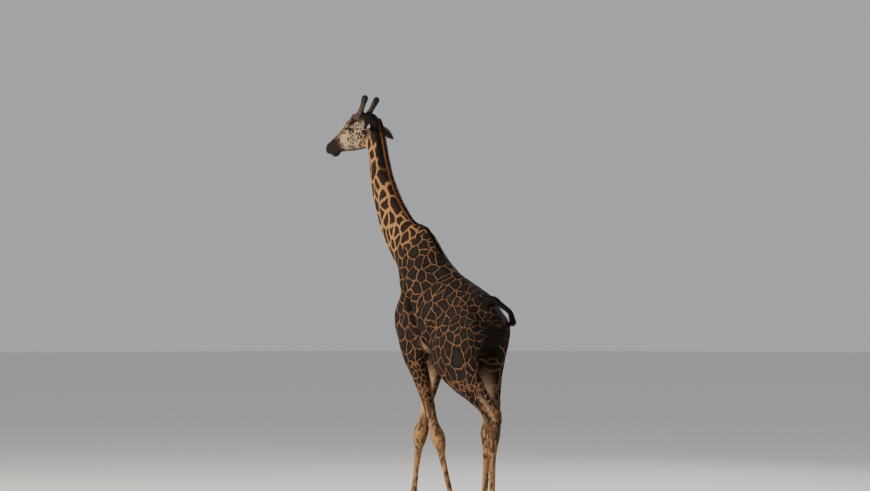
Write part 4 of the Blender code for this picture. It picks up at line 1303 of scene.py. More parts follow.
def ear_colour(finish, coat, marks):
    """Puts the ears' colours over the coat: painted shade on the backs, a broad cream edge, and painted
    shade deep in the cup.
    """
    ear = finish.field("ear")
    inner, rim, share = (ear.part(index) for index in range(3))
    # Painted shade: the ears' backs are darkened.
    back = (share.rise(0.08, 0.25) * (1.0 - inner.rise(0.0, 0.1)) * (1.0 - rim)).held()
    coat = finish.mix(back * 0.92, coat, marks.ear_back_shade)
    coat = finish.mix((inner.rise(0.0, 0.08) + rim * 1.2).held(), coat, marks.ear_hair)
    # Painted shade down the middle of the cup, from the root to over half its length.
    hollow = inner.rise(0.80, 0.97) * (1.0 - share.rise(0.55, 0.80))
    return finish.mix((hollow * 0.97).held(), coat, marks.ear_cup_shade)


def skin_finish(name, marks):
    """The skin under the coat: markings, the ears' colours, and a bump of fine hair."""
    finish = Finish(name)
    coat, inside, _ = marking_colour(finish, marks)
    place = finish.place()
    coat = ear_colour(finish, coat, marks)
    streaks = finish.noise(place.scaled((1.0, 1.0, 0.22)), 330.0, 3.0, 0.6)
    lay = finish.noise(place, 42.0, 3.0, 0.55)
    normal = finish.bump(streaks, 0.0022, 0.55)
    normal = finish.bump(lay, 0.006, 0.35, normal)
    normal = finish.bump(inside, 0.0012, 0.30, normal)
    rough = 0.78 + 0.14 * lay
    finish.shader.inputs["Specular IOR Level"].default_value = HAIR_SHINE
    return finish.finish(Base_Color=coat, Roughness=rough, Normal=normal)


def coat_finish(name, marks):
    """The tufts: the same markings read at each tuft's root, a little lighter towards its tip."""
    finish = Finish(name)
    coat, _, grain = marking_colour(finish, marks)
    coat = ear_colour(finish, coat, marks)
    strand = finish.field("strand", "Fac")
    coat = finish.mix((strand * 0.45).held(), coat, finish.brighter(coat, 1.6))
    finish.shader.inputs["Specular IOR Level"].default_value = HAIR_SHINE
    return finish.finish(Base_Color=coat, Roughness=0.72 + 0.12 * grain)


def strand_finish(name, root, tip, start, end, rough, soot=0.0):
    """Hair that goes from one colour at the root to another at the tip, with uneven hairs.

    With soot, the tip's colour starts nearer the root where the soot field says so.
    """
    finish = Finish(name)
    strand = finish.field("strand", "Fac")
    place = finish.place()
    uneven = finish.noise(place, 55.0, 3.0, 0.6)
    if soot:
        strand = strand + finish.field("soot", "Fac") * soot
    share = (strand + (uneven - 0.5) * 0.45).rise(start, end)
    hair = finish.mix(share, root, tip)
    darker = tuple(part * 0.45 for part in root)
    hair = finish.mix((finish.noise(place, 260.0, 2.0) * 0.35).held(), hair, darker)
    finish.shader.inputs["Specular IOR Level"].default_value = 0.12
    return finish.finish(Base_Color=hair, Roughness=rough + 0.12 * uneven)


def eye_finish():
    """A dark wet eye: near-black brown iris, a level oval pupil, and a paler edge under the lids."""
    finish = Finish("giraffe_eye")
    iris = finish.field("iris")
    along, up, turn = iris.part(0), iris.part(1), iris.part(2)
    pupil = 1.0 - ((along / 0.62) ** 2.0 + (up / 0.34) ** 2.0).rise(0.75, 1.15)
    ring = (along ** 2.0 + up ** 2.0).rise(0.75, 1.05)
    rays = finish.noise(finish.place(), 190.0, 3.0, 0.6)
    tint = finish.mix(rays, (0.010, 0.005, 0.003), (0.024, 0.011, 0.005))
    tint = finish.mix(ring, tint, (0.006, 0.004, 0.003))
    tint = finish.mix(pupil, tint, (0.002, 0.002, 0.003))
    tint = finish.mix((along ** 2.0 + up ** 2.0).rise(2.1, 2.5) * 0.5, tint, (0.03, 0.020, 0.016))
    finish.shader.inputs["Coat Weight"].default_value = 0.12
    finish.shader.inputs["Coat Roughness"].default_value = 0.03
    finish.shader.inputs["Specular IOR Level"].default_value = 0.2
    return finish.finish(Base_Color=tint, Roughness=0.22 + 0.02 * turn)


def hoof_finish(marks):
    """Dusty horn: rings around the claw, fine cracks downwards, paler worn edges and dry earth."""
    finish = Finish("giraffe_hoof")
    claw = finish.field("claw")
    level = claw.part(0)
    place = finish.place()
    rings = finish.noise(place.scaled((0.15, 0.15, 1.0)), 190.0, 2.0, 0.5)
    cracks = finish.noise(place.scaled((1.0, 1.0, 0.10)), 150.0, 4.0, 0.65)
    dust = finish.noise(place, 24.0, 4.0, 0.6)
    horn = finish.mix(rings, marks.hoof, marks.hoof_light)
    horn = finish.mix((cracks.rise(0.55, 0.75) * 0.6).held(), horn, (0.020, 0.015, 0.012))
    earth = ((1.0 - level.rise(0.0, 0.55)) * 0.65 + dust.rise(0.45, 0.75) * 0.45).held()
    horn = finish.mix(earth, horn, marks.dust)
    normal = finish.bump(rings, 0.0030, 0.6)
    normal = finish.bump(cracks, 0.0025, 0.5, normal)
    return finish.finish(Base_Color=horn, Roughness=0.55 + 0.30 * earth, Normal=normal)


def horn_finish(marks):
    """Skin on the horns: dark hair up the shaft and a rubbed, greyer crown."""
    finish = Finish("giraffe_horn")
    share = finish.field("horn").part(0)
    place = finish.place()
    hair = finish.noise(place.scaled((1.0, 1.0, 0.3)), 260.0, 3.0, 0.6)
    patchy = finish.noise(place, 26.0, 3.0, 0.6)
    shaft = finish.mix((patchy * 0.9).held(), marks.horn, marks.horn_light)
    dark = finish.mix((share + (patchy - 0.5) * 0.3).rise(0.50, 0.78), shaft, marks.horn_tip)
    worn = ((share + (patchy - 0.5) * 0.06).rise(0.97, 1.0) * 0.5).held()
    tint = finish.mix(worn, dark, (0.10, 0.072, 0.050))
    normal = finish.bump(hair, 0.0022, 0.6)
    normal = finish.bump(patchy, 0.0050, 0.4, normal)
    return finish.finish(Base_Color=tint, Roughness=0.80 - 0.15 * worn, Normal=normal)


def floor_finish(tint):
    finish = Finish("pale_floor")
    speck = finish.noise(finish.place(), 3.0, 3.0)
    shade = finish.mix((speck * 0.5).held(), tint, tuple(part * 0.93 for part in tuple(tint)[:3]))
    return finish.finish(Base_Color=shade, Roughness=0.75)


# ---------------------------------------------------------------- settings

def tint(name, description, value):
    return bpy.props.FloatVectorProperty(name=name, description=description, subtype="COLOR", size=3,
                                         min=0.0, max=1.0, default=value)


def length(name, description, value):
    return bpy.props.FloatProperty(name=name, description=description, unit="LENGTH",
                                   default=value, min=0.0)


def angle_setting(name, description, degrees):
    return bpy.props.FloatProperty(name=name, description=description, subtype="ANGLE",
                                   default=math.radians(degrees))


class GiraffeMarkings(bpy.types.PropertyGroup):
    """Colours of the coat and its bare parts."""
    patch: tint("Patch", "Edge of the dark patches", (0.0062, 0.0043, 0.0036))
    # Painted sheen: the lighter, greyer middle of the dark patches.
    patch_sheen: tint("Patch middle", "Dusty middle of the patches", (0.0200, 0.0148, 0.0125))
    neck_patch: tint("Neck patch", "Browner patches of the neck", (0.036, 0.018, 0.011))
    line: tint("Line", "Thin lines between the trunk's patches", (0.150, 0.070, 0.034))
    line_shade: tint("Line shade", "Darker hairs in the lines", (0.082, 0.044, 0.026))
    neck_ground: tint("Neck ground", "Wide ground between the neck's patches", (0.320, 0.165, 0.066))
    leg_ground: tint("Leg ground", "Ground colour of the lower legs", (0.350, 0.190, 0.082))
    leg_shade: tint("Leg shade", "Darker hairs of the lower legs", (0.160, 0.085, 0.040))
    leg_dark: tint("Leg mottle", "Dark mottles on the legs", (0.030, 0.017, 0.011))
    pale: tint("Pale", "Inner thighs and belly", (0.50, 0.34, 0.21))
    face_ground: tint("Face ground", "Cream of the cheeks", (0.300, 0.232, 0.160))
    face_shade: tint("Face shade", "Tan hairs of the cheeks", (0.150, 0.105, 0.070))
    face_brown: tint("Face brown", "Brow and bridge of the nose", (0.040, 0.025, 0.017))
    face_tan: tint("Face tan", "Lighter hairs on the bridge of the nose", (0.190, 0.125, 0.076))
    face_spot: tint("Face spot", "Small spots on the face", (0.015, 0.010, 0.0075))
    muzzle: tint("Muzzle", "Dark muzzle and lips", (0.011, 0.008, 0.0065))
    # Painted shade deep in the ears' cups.
    ear_cup_shade: tint("Ear canal", "Deep inside of the ears", (0.010, 0.007, 0.006))
    # Painted shade on the ears' backs.
    ear_back_shade: tint("Ear back", "Back of the ears", (0.020, 0.016, 0.015))
    ear_hair: tint("Ear hair", "Fringe and inner hair of the ears", (0.62, 0.53, 0.42))
    mane_root: tint("Mane root", "Reddish lower part of the mane", (0.20, 0.075, 0.038))
    mane_tip: tint("Mane tip", "Dark rim of the mane", (0.012, 0.008, 0.007))
    tail_hair: tint("Tail hair", "Long hair of the tail", (0.012, 0.010, 0.009))
    horn: tint("Horn", "Hair on the horns", (0.040, 0.025, 0.017))
    horn_light: tint("Horn light", "Lighter hair at the horns' feet", (0.082, 0.050, 0.030))
    horn_tip: tint("Horn tip", "Black hair near the crown", (0.011, 0.009, 0.009))
    hoof: tint("Hoof", "Dark horn of the hooves", (0.050, 0.037, 0.028))
    hoof_light: tint("Hoof light", "Lighter rings of the hooves", (0.115, 0.085, 0.062))
    dust: tint("Dust", "Dry earth on the hooves", (0.27, 0.205, 0.145))


class GiraffeSkinSettings(bpy.types.PropertyGroup):
    """Fineness of the skin and depth of the coat over it."""
    grain: length("Grain", "Voxel size of the fused skin before the head is refined", 0.0205)
    coat_depth: length("Coat depth", "How far the skin lies under the hair's surface", 0.004)


class GiraffeCoatSettings(bpy.types.PropertyGroup):
    """Size and number of the tufts."""
    density: bpy.props.FloatProperty(name="Density", description="Trunk tufts for each square metre",
                                     default=5200.0, min=0.0)
    tuft: length("Tuft", "Length of a trunk tuft", 0.022)
    mane: length("Mane", "Height of the mane", 0.072)
    seed: bpy.props.IntProperty(name="Seed", description="Start of the random places", default=7, min=0)


class GiraffeStageSettings(bpy.types.PropertyGroup):
    """Camera, light and floor."""
    distance: length("Distance", "From the animal to the camera", 32.0)
    height: length("Height", "Camera height", 2.7)
    azimuth: angle_setting("Azimuth", "Direction of the camera around the animal", 147.0)
    lens: bpy.props.FloatProperty(name="Lens", description="Focal length in millimetres",
                                  default=116.52, min=1.0)
    aside: angle_setting("Aside", "Turn of the camera to its left", 0.4476)
    tilt: angle_setting("Tilt", "Upward tilt of the camera", 0.885)
    floor: tint("Floor", "Colour of the floor", (0.80, 0.79, 0.77))


# ---------------------------------------------------------------- operators

def field_of(region):
    """Points of the skin that belong to the named part, as a mask."""
    skin = Skin.made
    count = skin.body_count
    mask = np.zeros(len(skin.points), bool)
    if region == "ears":
        mask[count:len(mask) - skin.tail_count] = True
    elif region == "tail":
        mask[len(mask) - skin.tail_count:] = True
    else:
        wanted = [FLESH.index(name) for name in region]
        mask[:count] = skin.shares[:count][:, wanted].sum(axis=1) >= 0.5
    return mask


class GIRAFFE_OT_skin(bpy.types.Operator):
    """Makes the one skin of the flesh, with the relief of head and body, the ears and the dock"""
    bl_idname = "giraffe.skin"
    bl_label = "Skin"

    def execute(self, context):
        scene = context.scene
        mesh = make_skin(scene.giraffe_skin)
        covered = FLESH + ("tail", "ear_left", "ear_right")
        new_piece("skin", mesh, skin_finish("giraffe_skin", scene.giraffe_markings), covered)
        skin = Skin.made
        skin.flow = np.zeros((len(skin.points), 3))
        start = skin.body_count
        for side in (1, -1):
            direction = unit(np.array(EARS[side][1]) * (1, side, 1))
            stop = start + EAR_RINGS * 2 * EAR_SPREAD + 2
            skin.flow[start:stop] = HEAD_AXES @ direction
            start = stop
        return {"FINISHED"}


class GIRAFFE_OT_coat(bpy.types.Operator):
    """Lays the short coat in flat tufts over trunk, neck, legs and head, smallest on face and feet"""
    bl_idname = "giraffe.coat"
    bl_label = "Coat"

    def execute(self, context):
        scene = context.scene
        settings, skin = scene.giraffe_coat, Skin.made
        material = coat_finish("giraffe_coat", scene.giraffe_markings)
        points, shares = skin.points, skin.shares
        body = to_body(points)
        low = shares[:, 3:].sum(axis=1) * ease(points[:, 2], 1.7, 0.9)
        long_tuft = settings.tuft * (1 - 0.50 * low)
        density = settings.density * (1 + 1.9 * low)
        left = body[:, 1] > 0
        trunk = field_of(("trunk",))
        regions = (
            ("coat_trunk_left", trunk & left, 1), ("coat_trunk_right", trunk & ~left, 2),
            ("coat_neck", field_of(("neck",)), 3),
            ("coat_foreleg_left", field_of(LEGS[:1]), 4), ("coat_foreleg_right", field_of(LEGS[1:2]), 10),
            ("coat_hindleg_left", field_of(LEGS[2:3]), 5), ("coat_hindleg_right", field_of(LEGS[3:]), 6),
        )
        for name, mask, step in regions:
            lay_tufts(name, mask, density, long_tuft, long_tuft * 0.115, long_tuft * 0.055,
                      settings.seed + step, material)
        head = to_head(points)
        front = ease(head[:, 0], 0.25, 0.75)
        face_tuft = 0.016 - 0.009 * front
        folded = both_sides(head)
        off_eye = np.linalg.norm(folded - np.array(EYE_PLACE), axis=1)
        bald = (off_eye < 0.037) | (ease(head[:, 0], 0.80, 0.84) > 0.5)
        slit, _ = near_path(folded, (NOSTRIL[0], NOSTRIL[1], NOSTRIL[3]), 30)
        mouth, _ = near_path(folded, (MOUTH[0], MOUTH[2], MOUTH[5]), 40)
        bald |= (slit < 0.012) | (mouth < 0.008)
        lay_tufts("coat_head", field_of(("head",)) & ~bald, np.full(len(points), 21000.0), face_tuft,
                  face_tuft * 0.10, face_tuft * 0.06, settings.seed + 7, material)
        ear_length = 0.012 + 0.006 * skin.ear[:, 1] + 0.008 * skin.ear[:, 0]
        deep = skin.ear[:, 0] * (skin.ear[:, 2] < 0.45)
        ear_density = (16000.0 + 52000.0 * skin.ear[:, 1]) * (1 - 0.9 * deep)
        lay_tufts("coat_ears", field_of("ears"), ear_density, ear_length, ear_length * 0.055,
                  0.0012 + 0.003 * skin.ear[:, 0], settings.seed + 8, material)
        dock = np.full(len(points), 0.022)
        lay_tufts("coat_tail", field_of("tail"), np.full(len(points), 9000.0), dock, dock * 0.10,
                  dock * 0.08, settings.seed + 9, material)
        return {"FINISHED"}


class GIRAFFE_OT_mane(bpy.types.Operator):
    """Stands the short stiff mane on the crest from the withers to between the horns"""
    bl_idname = "giraffe.mane"
    bl_label = "Mane"

    def execute(self, context):
        scene = context.scene
        settings, marks = scene.giraffe_coat, scene.giraffe_markings
        material = strand_finish("giraffe_mane", tuple(marks.mane_root), tuple(marks.mane_tip),
                                 0.40, 0.85, 0.70, soot=0.55)
        rng = np.random.default_rng(settings.seed + 20)
        for name, count, spread in (("mane_left", 5200, 1), ("mane_right", 5200, -1)):
            share = rng.random(count)
            at = share * (len(CREST) - 1)
            row = curve_through(CREST, at)
            ahead = unit(curve_through(CREST, np.minimum(at + 0.05, len(CREST) - 1))
                         - curve_through(CREST, np.maximum(at - 0.05, 0)))
            outward_way = np.stack((-ahead[:, 1], np.zeros(count), ahead[:, 0]), axis=-1)
            along = np.stack((ahead[:, 0], np.zeros(count), ahead[:, 1]), axis=-1)
            aside = spread * rng.random(count) ** 0.8 * 0.017
            tall = settings.mane * (0.30 + 0.70 * ease(share, 0.36, 0.60))
            tall = tall * (1 - 0.35 * ease(share, 0.93, 1.0))
            tall = tall * rng.uniform(0.86, 1.08, count)
            root = np.stack((row[:, 0], aside, row[:, 1]), axis=-1) - outward_way * 0.012
            lean = outward_way - along * rng.uniform(0.10, 0.34, (count, 1))
            lean[:, 1] += spread * 0.06 + aside * 4.0 + rng.normal(0, 0.05, count)
            lean = unit(lean)
            rows = np.linspace(0, 1, 5)
            curl = -along * 0.010 + np.array((0.0, 1.0, 0.0)) * rng.normal(0, 0.003, (count, 1))
            body = (root[:, None] + lean[:, None] * (tall[:, None] * rows)[..., None]
                    + curl[:, None] * (rows ** 2)[:, None])
            widths = rng.uniform(0.0016, 0.0027, (count, 1)) * np.array((0.9, 1.0, 0.85, 0.6, 0.0))
            lifts = along @ BODY_TO_WORLD.T
            mesh, per_hair, strand = locks(name, from_body(body), widths, lifts)
            places = np.stack((0.245 + aside * 4, 0.05 + 0.9 * share), axis=-1)
            soot = np.clip(ease(share, 0.86, 0.97) + ease(share, 0.46, 0.34) * 0.75, 0, 1)
            dress_locks(mesh, per_hair, strand, {"soot": soot}, places)
            new_piece(name, mesh, material, ("mane",))
        return {"FINISHED"}


class GIRAFFE_OT_tail_hair(bpy.types.Operator):
    """Hangs the long black hair of the tail from the end of the dock"""
    bl_idname = "giraffe.tail_hair"
    bl_label = "Tail hair"

    def execute(self, context):
        scene = context.scene
        settings = scene.giraffe_coat
        root_tint = tuple(scene.giraffe_markings.tail_hair)
        tip_tint = tuple(part * 1.9 for part in root_tint)
        material = strand_finish("giraffe_tail_hair", root_tint, tip_tint, 0.3, 1.0, 0.45)
        rng = np.random.default_rng(settings.seed + 30)
        count, rows = 1500, 11
        start = TUFT_ROW - 0.75 + 1.6 * rng.random(count) ** 1.4
        end = len(TAIL) - 1 - 1.4 * rng.random(count) ** 2
        share = np.linspace(0, 1, rows)
        at = start[:, None] + (end - start)[:, None] * share[None]
        row = curve_through(TAIL, at.reshape(-1)).reshape(count, rows, 4)
        angle = rng.uniform(0, 2 * math.pi, count)[:, None] + rng.normal(0, 0.5, (count, 1)) * share[None]
        reach = (0.25 + 0.72 * np.sqrt(rng.random(count)))[:, None] * np.maximum(row[..., 3], 0.010)
        reach = np.where(at < TUFT_ROW, np.maximum(reach, row[..., 3] * 0.9), reach)
        body = row[..., :3] + np.stack((np.cos(angle) * reach, np.sin(angle) * reach, 0 * reach), axis=-1)
        wave = np.sin(share[None, :, None] * 9 + rng.uniform(0, 6.28, (count, 1, 3)))
        body += 0.004 * wave * share[None, :, None]
        widths = rng.uniform(0.0016, 0.0030, (count, 1)) * (1 - share[None] ** 3 * 0.9)
        lifts = np.stack((np.sin(angle[:, 0]), -np.cos(angle[:, 0]), 0 * angle[:, 0]), axis=-1)
        mesh, per_hair, strand = locks("tail_hair", from_body(body), widths, lifts)
        places = np.stack((0.1 + 0.8 * (angle[:, 0] % 6.283) / 6.283, 0.1 + 0.8 * (start - 8) / 3), axis=-1)
        dress_locks(mesh, per_hair, strand, {}, places)
        new_piece("tail_hair", mesh, material, ("tail_tuft",))
        return {"FINISHED"}


def eye_directions(side):
    """An eye's centre, the way it looks, and its level and rearward directions, in the head."""
    centre = np.array(EYE_PLACE) * (1, side, 1)
    gaze = unit(np.array((0.20, side * 1.0, 0.02)))
    level = unit(np.array((0.0, 0.0, 1.0)) - gaze * gaze[2])
    return centre, gaze, level, np.cross(level, gaze) * side


def eyeball(name, side):
    """A ball with a raised cornea, and each point's place in the iris."""
    centre, gaze, level, rearward = eye_directions(side)
    polar = np.linspace(0.0, math.pi, EYE_RINGS)[:, None]
    angle = np.linspace(0, 2 * math.pi, EYE_SIDES, endpoint=False)[None]
    radius = EYE_RADIUS * (1 + 0.045 * ease(polar, 0.62, 0.30)) + 0 * angle
    x = np.sin(polar) * np.cos(angle)
    y = np.sin(polar) * np.sin(angle)
    z = np.cos(polar) + 0 * angle
    grid = centre + radius[..., None] * (x[..., None] * rearward + y[..., None] * level
                                         + z[..., None] * gaze)
    rings = from_head(grid[1:-1].reshape(-1, 3)).reshape(EYE_RINGS - 2, EYE_SIDES, 3)
    points, faces = closed_loft(rings)
    mesh = outward(mesh_from(name, points, faces))
    iris = np.stack((x, y, 1 - z), axis=-1)[1:-1].reshape(-1, 3) / 0.62
    write_field(mesh, "iris", np.vstack((iris, (0, 0, 0), (0, 0, 3.2))))
    return mesh


def lash_paths(side, rng, count=110):
    """Lashes along the upper lid's edge, which arch out and droop."""
    centre, gaze, level, rearward = eye_directions(side)
    share = np.linspace(-1, 1, count) + rng.normal(0, 0.01, count)
    x = share * 0.0265
    lid_up = 0.0122 * np.sqrt(np.clip(1 - share ** 2, 0, 1))
    along = x * math.cos(EYE_SLANT) + lid_up * math.sin(EYE_SLANT)
    up = lid_up * math.cos(EYE_SLANT) - x * math.sin(EYE_SLANT)
    out = np.sqrt(np.clip((EYE_RADIUS + 0.004) ** 2 - along ** 2 - up ** 2, 0.0001, None))
    root = centre + along[:, None] * rearward + up[:, None] * level + out[:, None] * gaze
    rows = np.linspace(0, 1, 6)
    long_lash = (0.026 + 0.010 * (1 - share ** 2)) * rng.uniform(0.85, 1.15, count)
    lean = unit(gaze + rearward * (0.35 * share)[:, None] - level * 0.35)
    droop = np.sin(rows * 2.6) - 1.6 * rows ** 3 * 0.6
    path = (root[:, None] + lean[:, None] * (long_lash[:, None] * rows)[..., None]
            - 0.012 * level * droop[None, :, None])
    widths = np.full((count, 1), 0.00075) * (1 - 0.8 * rows[None] ** 2)
    return from_head(path), widths, np.repeat((HEAD_AXES @ rearward)[None], count, axis=0)


class GIRAFFE_OT_eyes(bpy.types.Operator):
    """Makes the eyeballs with a raised cornea, and the long lashes over them"""
    bl_idname = "giraffe.eyes"
    bl_label = "Eyes and lashes"

    def execute(self, context):
        material = eye_finish()
        lash = strand_finish("giraffe_lash", (0.010, 0.008, 0.007), (0.018, 0.013, 0.010), 0.3, 1.0, 0.5)
        rng = np.random.default_rng(context.scene.giraffe_coat.seed + 40)
        parts = []
        for side, label in ((1, "left"), (-1, "right")):
            name = "eye_" + label
            new_piece("eyeball_" + label, eyeball(name, side), material, (name,))
            parts.append(lash_paths(side, rng))
        paths, widths, lifts = (np.concatenate(group) for group in zip(*parts))
        mesh, per_hair, strand = locks("lashes", paths, widths, lifts)
        places = np.stack((0.6 + 0.3 * rng.random(len(paths)), 0.8 + 0.1 * rng.random(len(paths))), axis=-1)
        dress_locks(mesh, per_hair, strand, {}, places)
        new_piece("lashes", mesh, lash)
        return {"FINISHED"}


def horn_axes(side):
    """A horn's root, the way it leans, and two directions across it, in the head."""
    root = np.array(HORN_ROOT) * (1, side, 1)
    lean = unit(np.array(HORN_LEAN) * (1, side, 1))
    across = unit(np.cross(lean, (0.0, 1.0, 0.0)))
    return root, lean, across, np.cross(lean, across)


def horn_mesh(name, side):
    """Lumpy rings up to the knob, with each point's share of the horn's length."""
    root, lean, across, other = horn_axes(side)
    share = np.linspace(0.02, 1, HORN_RINGS)
    radius = horn_radius(share)
    angle = np.linspace(0, 2 * math.pi, HORN_SIDES, endpoint=False)
    ring = np.cos(angle)[:, None] * across + np.sin(angle)[:, None] * other
    middle = root + lean * (HORN_LENGTH * share)[:, None]
    grid = (middle[:, None] + radius[:, None, None] * ring[None]).reshape(-1, 3)
    lumps = 0.0022 * ripple(grid, 0.055, 11) + 0.0010 * ripple(grid, 0.022, 12)
    lumps = lumps * np.repeat(np.minimum(1, radius / 0.02), HORN_SIDES)
    grid = grid + np.tile(ring, (HORN_RINGS, 1)) * lumps[:, None]
    points, faces = closed_loft(from_head(grid).reshape(HORN_RINGS, HORN_SIDES, 3))
    mesh = outward(mesh_from(name, points, faces))
    shares = np.concatenate((np.repeat(share, HORN_SIDES), (0.0, 1.0)))
    write_field(mesh, "horn", first_of_three(shares))
    return mesh


def horn_hairs(side, rng, count=3000):
    """Hair on a horn, longest round the knob: paths, lifts and roots as shares of its length."""
    root, lean, across, other = horn_axes(side)
    at = 0.004 + 0.981 * rng.random(count) ** 1.35
    turn = rng.uniform(0, 2 * math.pi, count)
    out = np.cos(turn)[:, None] * across + np.sin(turn)[:, None] * other
    start = root + lean * (HORN_LENGTH * at)[:, None] + out * (horn_radius(at) + 0.0005)[:, None]
    slope = (horn_radius(at + 0.01) - horn_radius(at - 0.01)) / (0.02 * HORN_LENGTH)
    grow = unit(lean + out * np.clip(slope, -2.5, 1.0)[:, None])
    size = (0.010 + 0.010 * ease(at, 0.50, 0.80) - 0.006 * ease(at, 0.86, 1.0))
    size = size * rng.uniform(0.8, 1.2, count)
    rows = np.linspace(0, 1, 4)
    path = (start[:, None] + grow[:, None] * (size[:, None] * rows)[..., None]
            + out[:, None] * (0.0030 * rows * (1.2 - rows) + 0.0012 * rows)[None, :, None])
    return from_head(path), out @ HEAD_AXES.T, at


class GIRAFFE_OT_horns(bpy.types.Operator):
    """Makes the two horns with their knobs, and the hair on them"""
    bl_idname = "giraffe.horns"
    bl_label = "Horns"

    def execute(self, context):
        scene = context.scene
        material = horn_finish(scene.giraffe_markings)
        rng = np.random.default_rng(scene.giraffe_coat.seed + 50)
        parts = []
        for side, label in ((1, "left"), (-1, "right")):
            name = "horn_" + label
            new_piece("ossicone_" + label, horn_mesh(name, side), material, (name,))
            parts.append(horn_hairs(side, rng))
        paths, lifts, roots = (np.concatenate(group) for group in zip(*parts))
        widths = rng.uniform(0.0009, 0.0015, (len(paths), 1)) * np.array((0.8, 1.0, 0.7, 0.0))
        mesh, per_hair, strand = locks("horn_hair", paths, widths, lifts)
        places = 0.2 + 0.6 * rng.random((len(paths), 2))
        dress_locks(mesh, per_hair, strand, {"horn": first_of_three(roots)}, places)
        new_piece("horn_hair", mesh, material)
        return {"FINISHED"}


def horn_radius(share):
    """Radius along a horn: a wide foot, a slight waist, a knob and a domed end."""
    flare = 0.049 * (1 - np.minimum(share / 0.48, 1)) ** 2
    knob = 0.006 * np.maximum(0.0, 1 - ((share - 0.86) / 0.20) ** 2)
    dome = np.sqrt(np.maximum(0.0, 1 - np.maximum(0.0, (share - 0.86) / 0.14) ** 2))
    return np.maximum((0.0295 + flare + knob) * dome, 0.0015)


# A claw's rings from the sole to the crown: share of the height, and width against the widest.
CLAW_ROWS = (
    (0.0, 0.955), (0.05, 0.985), (0.12, 1), (0.22, 1), (0.34, 0.99), (0.46, 0.985), (0.58, 0.98),
    (0.70, 0.98), (0.80, 0.975), (0.88, 0.97), (0.94, 0.95), (0.98, 0.90), (1.0, 0.78), (1.0, 0.40),
)


def claw_mesh(node):
    """Rounded rings from a flat sole up to the sloping crown, narrower towards the toe."""
    low, high = (np.array(corner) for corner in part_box(node))
    middle, half = (low + high) / 2, (high - low) / 2
    inner = -1 if ("left" in node) == ("inner" in node) else 1
    angle = np.linspace(0, 2 * math.pi, CLAW_SIDES, endpoint=False)[None]
    level, inset = (np.array(row)[:, None] for row in zip(*CLAW_ROWS))
    power = 2 / 2.6
    across = np.sign(np.cos(angle)) * np.abs(np.cos(angle)) ** power
    along = np.sign(np.sin(angle)) * np.abs(np.sin(angle)) ** power
    toe = np.maximum(along, 0) ** 2
    forward = along * half[1] * (1 - 0.235 * level) * inset - 0.028 * level
    left = across * half[0] * (1 - 0.10 * level) * inset * (1 - 0.42 * toe) + inner * 0.008 * toe
    up = (0.099 + 0.20 * forward) * level + 0 * angle
    growth = 1 + 0.010 * np.sin(level * 42) * ease(level, 0.05, 0.15) * ease(level, 1.0, 0.9)
    rings = np.stack((middle[0] + left * growth, middle[1] - forward * growth, up), axis=-1)
    points, faces = closed_loft(rings)
    mesh = outward(mesh_from("claw_" + node, points, faces))
    levels = np.concatenate((np.repeat(level.reshape(-1), CLAW_SIDES), (0.0, 1.0)))
    write_field(mesh, "claw", first_of_three(levels))
    return mesh


class GIRAFFE_OT_hooves(bpy.types.Operator):
    """Makes the eight claws: rings from a flat sole up to the crown, with a domed top"""
    bl_idname = "giraffe.hooves"
    bl_label = "Hooves"

    def execute(self, context):
        material = hoof_finish(context.scene.giraffe_markings)
        for node in sorted(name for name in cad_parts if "hoof" in name):
            mesh = claw_mesh(node)
            new_piece("claw_" + node.replace("hoof", ""), mesh, material, (node,))
        return {"FINISHED"}


